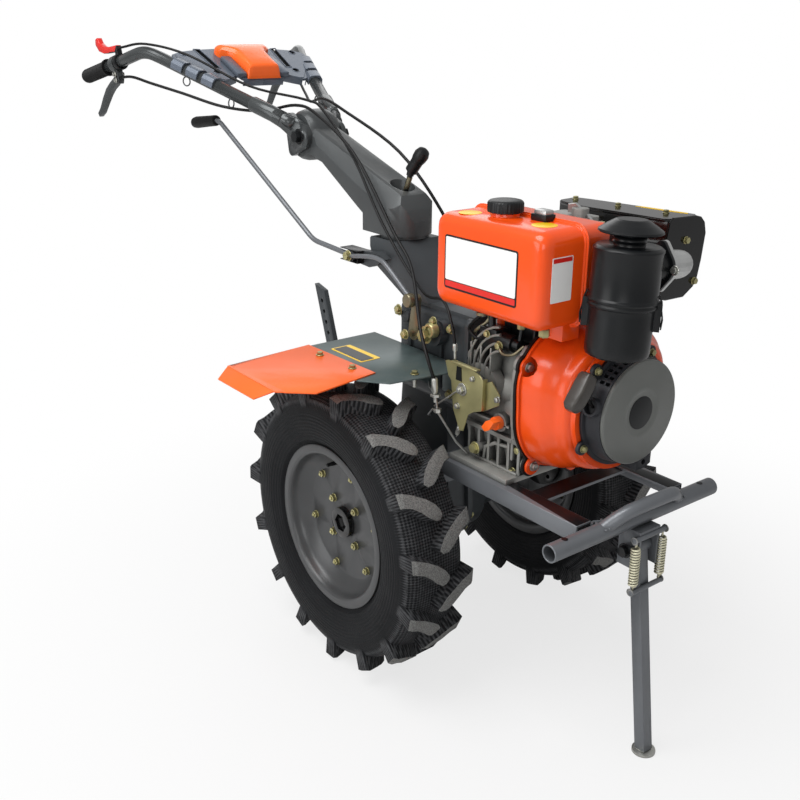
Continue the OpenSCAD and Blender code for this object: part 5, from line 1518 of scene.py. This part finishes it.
    def cables(self) -> None:
        """The three control cables."""
        Cable("throttle_cable", 2.8, 5, (
            (-973, -267, 1163), (-930, -262, 1170), (-840, -245, 1178), (-735, -192, 1156), (-600, -112, 1092),
            (-440, -66, 1070), (-371, -64, 1052), (-230, -84, 967), (-106, -102, 852), (36, -117, 752),
            (120, -133, 752), (166, -149, 716), (178, -152, 686))).build()
        Cable("clutch_cable", 3.3, 7, (
            (-968, -266, 1098), (-900, -260, 1103), (-830, -243, 1091), (-740, -208, 1072), (-640, -160, 1047),
            (-560, -106, 1040), (-450, -84, 1058), (-362, -86, 1045), (-220, -89, 976), (-71, -104, 846),
            (8, -119, 789), (100, -170, 702), (147, -187, 652), (161, -181, 612))).build()
        Cable("brake_cable", 3.3, 5, (
            (-968, 206, 1098), (-900, 196, 1098), (-740, 126, 1061), (-600, 52, 1052), (-500, 22, 1065),
            (-400, 10, 1046), (-220, 25, 974), (-104, 48, 862), (-50, 62, 765), (0, 70, 720))).build()


@dataclass
class Studio:
    """Camera, world, lamps and the pale floor."""

    lens: float = 44.4636  # focal length in millimetres
    shift: Pair = (0.00331, 0.001409)
    stand_at: Triple = (1458.96, -1261.757, 1219.358)  # the camera, in millimetres from the axle
    turn: Triple = (69.2174, -0.2526, 52.6709)  # and its three angles in degrees
    world: float = 0.42  # strength of the even light
    mirrored: float = 0.42  # strength of the white that shiny surfaces mirror
    key: float = 85.0  # power of the large upper lamp
    fill: float = 16.0  # power of the low side lamp
    aim: Triple = (0, 0, 0.55)  # what the lamps look at
    floor_half: float = 30.0
    floor_z: float = -0.0005
    glow: float = 0.74  # share of plain white in the floor beside the machine

    def build(self) -> None:
        """Sets up everything around the object."""
        bpy.context.scene.view_settings.view_transform = "Standard"
        self.camera()
        self.sky()
        self.lamp("key", (0.1, -1.5, 3.3), 2.2, self.key)
        self.lamp("front", (2.6, -2.4, 1.5), 1.4, self.fill)
        self.lamp("side", (-0.3, -3.4, 1.3), 1.8, self.fill * 1.6)
        self.lamp("rear", (-2.6, 1.8, 2.6), 2.0, self.fill)
        self.floor()

    def camera(self) -> None:
        """Camera at the front right of the machine."""
        data = bpy.data.cameras.new("camera")
        data.sensor_width, data.lens, data.clip_start = 36, self.lens, 0.05
        data.shift_x, data.shift_y = self.shift
        made = placed("camera", data, at(*self.stand_at))
        made.rotation_euler = [math.radians(angle) for angle in self.turn]
        bpy.context.scene.camera = made

    def sky(self) -> None:
        """White world: plain for what the camera sees and what metal mirrors."""
        world = bpy.data.worlds.new("studio")
        bpy.context.scene.world = world
        graph = Graph(world)
        strength = self.world
        for output, level in (("Is Glossy Ray", self.mirrored), ("Is Transmission Ray", 1.0), ("Is Camera Ray", 1.0)):
            seen = graph.node("ShaderNodeLightPath", output=output)
            strength = graph.node("ShaderNodeMix", None, {0: seen, 2: strength, 3: level})
        graph.set(Color=(1.0, 1.0, 1.0), Strength=strength)

    def lamp(self, name: str, place: Triple, size: float, power: float) -> None:
        """One square area lamp that looks at the object.

        Args:
            name: the lamp's name.
            place: in metres.
            size: its side in metres.
            power: in watts.
        """
        data = bpy.data.lights.new(name, "AREA")
        data.energy, data.size = power, size
        made = placed(name, data, place)
        made.rotation_euler = (Vector(self.aim) - made.location).to_track_quat("-Z", "Y").to_euler()

    def floor(self) -> None:
        """White floor that keeps a soft shadow under the machine and runs out into the white."""
        mesh = bpy.data.meshes.new("floor")
        corners = ((-1, -1), (1, -1), (1, 1), (-1, 1))
        mesh.from_pydata([(x * self.floor_half, y * self.floor_half, self.floor_z) for x, y in corners], [],
                         [(0, 1, 2, 3)])
        white = bpy.data.materials.new("floor_white")
        graph = Graph(white)
        graph.set(Base_Color=graph.blend(graph.noise(0.6, 2.0), (0.68, 0.68, 0.68), (0.7, 0.7, 0.7)), Roughness=0.9,
                  Specular_IOR_Level=0.1)
        x, y, _ = graph.axes(graph.place())
        x = x - (AXLE.x + 0.1)
        away = x.math("SQRT", x * x + y * y)
        seen = graph.node("ShaderNodeLightPath", output="Is Camera Ray")
        glow = graph.node("ShaderNodeEmission", None, {"Color": (1.0, 1.0, 1.0), "Strength": 1.0})
        mixed = graph.node("ShaderNodeMixShader", None, {0: seen * (away.ramp(0.3, 1.5) * (1 - self.glow) + self.glow),
                                                         1: Sock(graph, graph.shader.outputs[0]), 2: glow})
        graph.feed(graph.tree.nodes["Material Output"].inputs[0], mixed)
        mesh.materials.append(white)
        placed("floor", mesh)


def main() -> None:
    """Builds the machine's groups in order."""
    logging.basicConfig(level=logging.INFO, format="%(message)s")
    for group in (Studio(), Wheel("right"), Wheel("left"), Chassis(), Stand(), Engine(), SideControls(), Column(),
                  Handlebar()):
        group.build()
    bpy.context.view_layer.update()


if __name__ == "__main__":
    main()
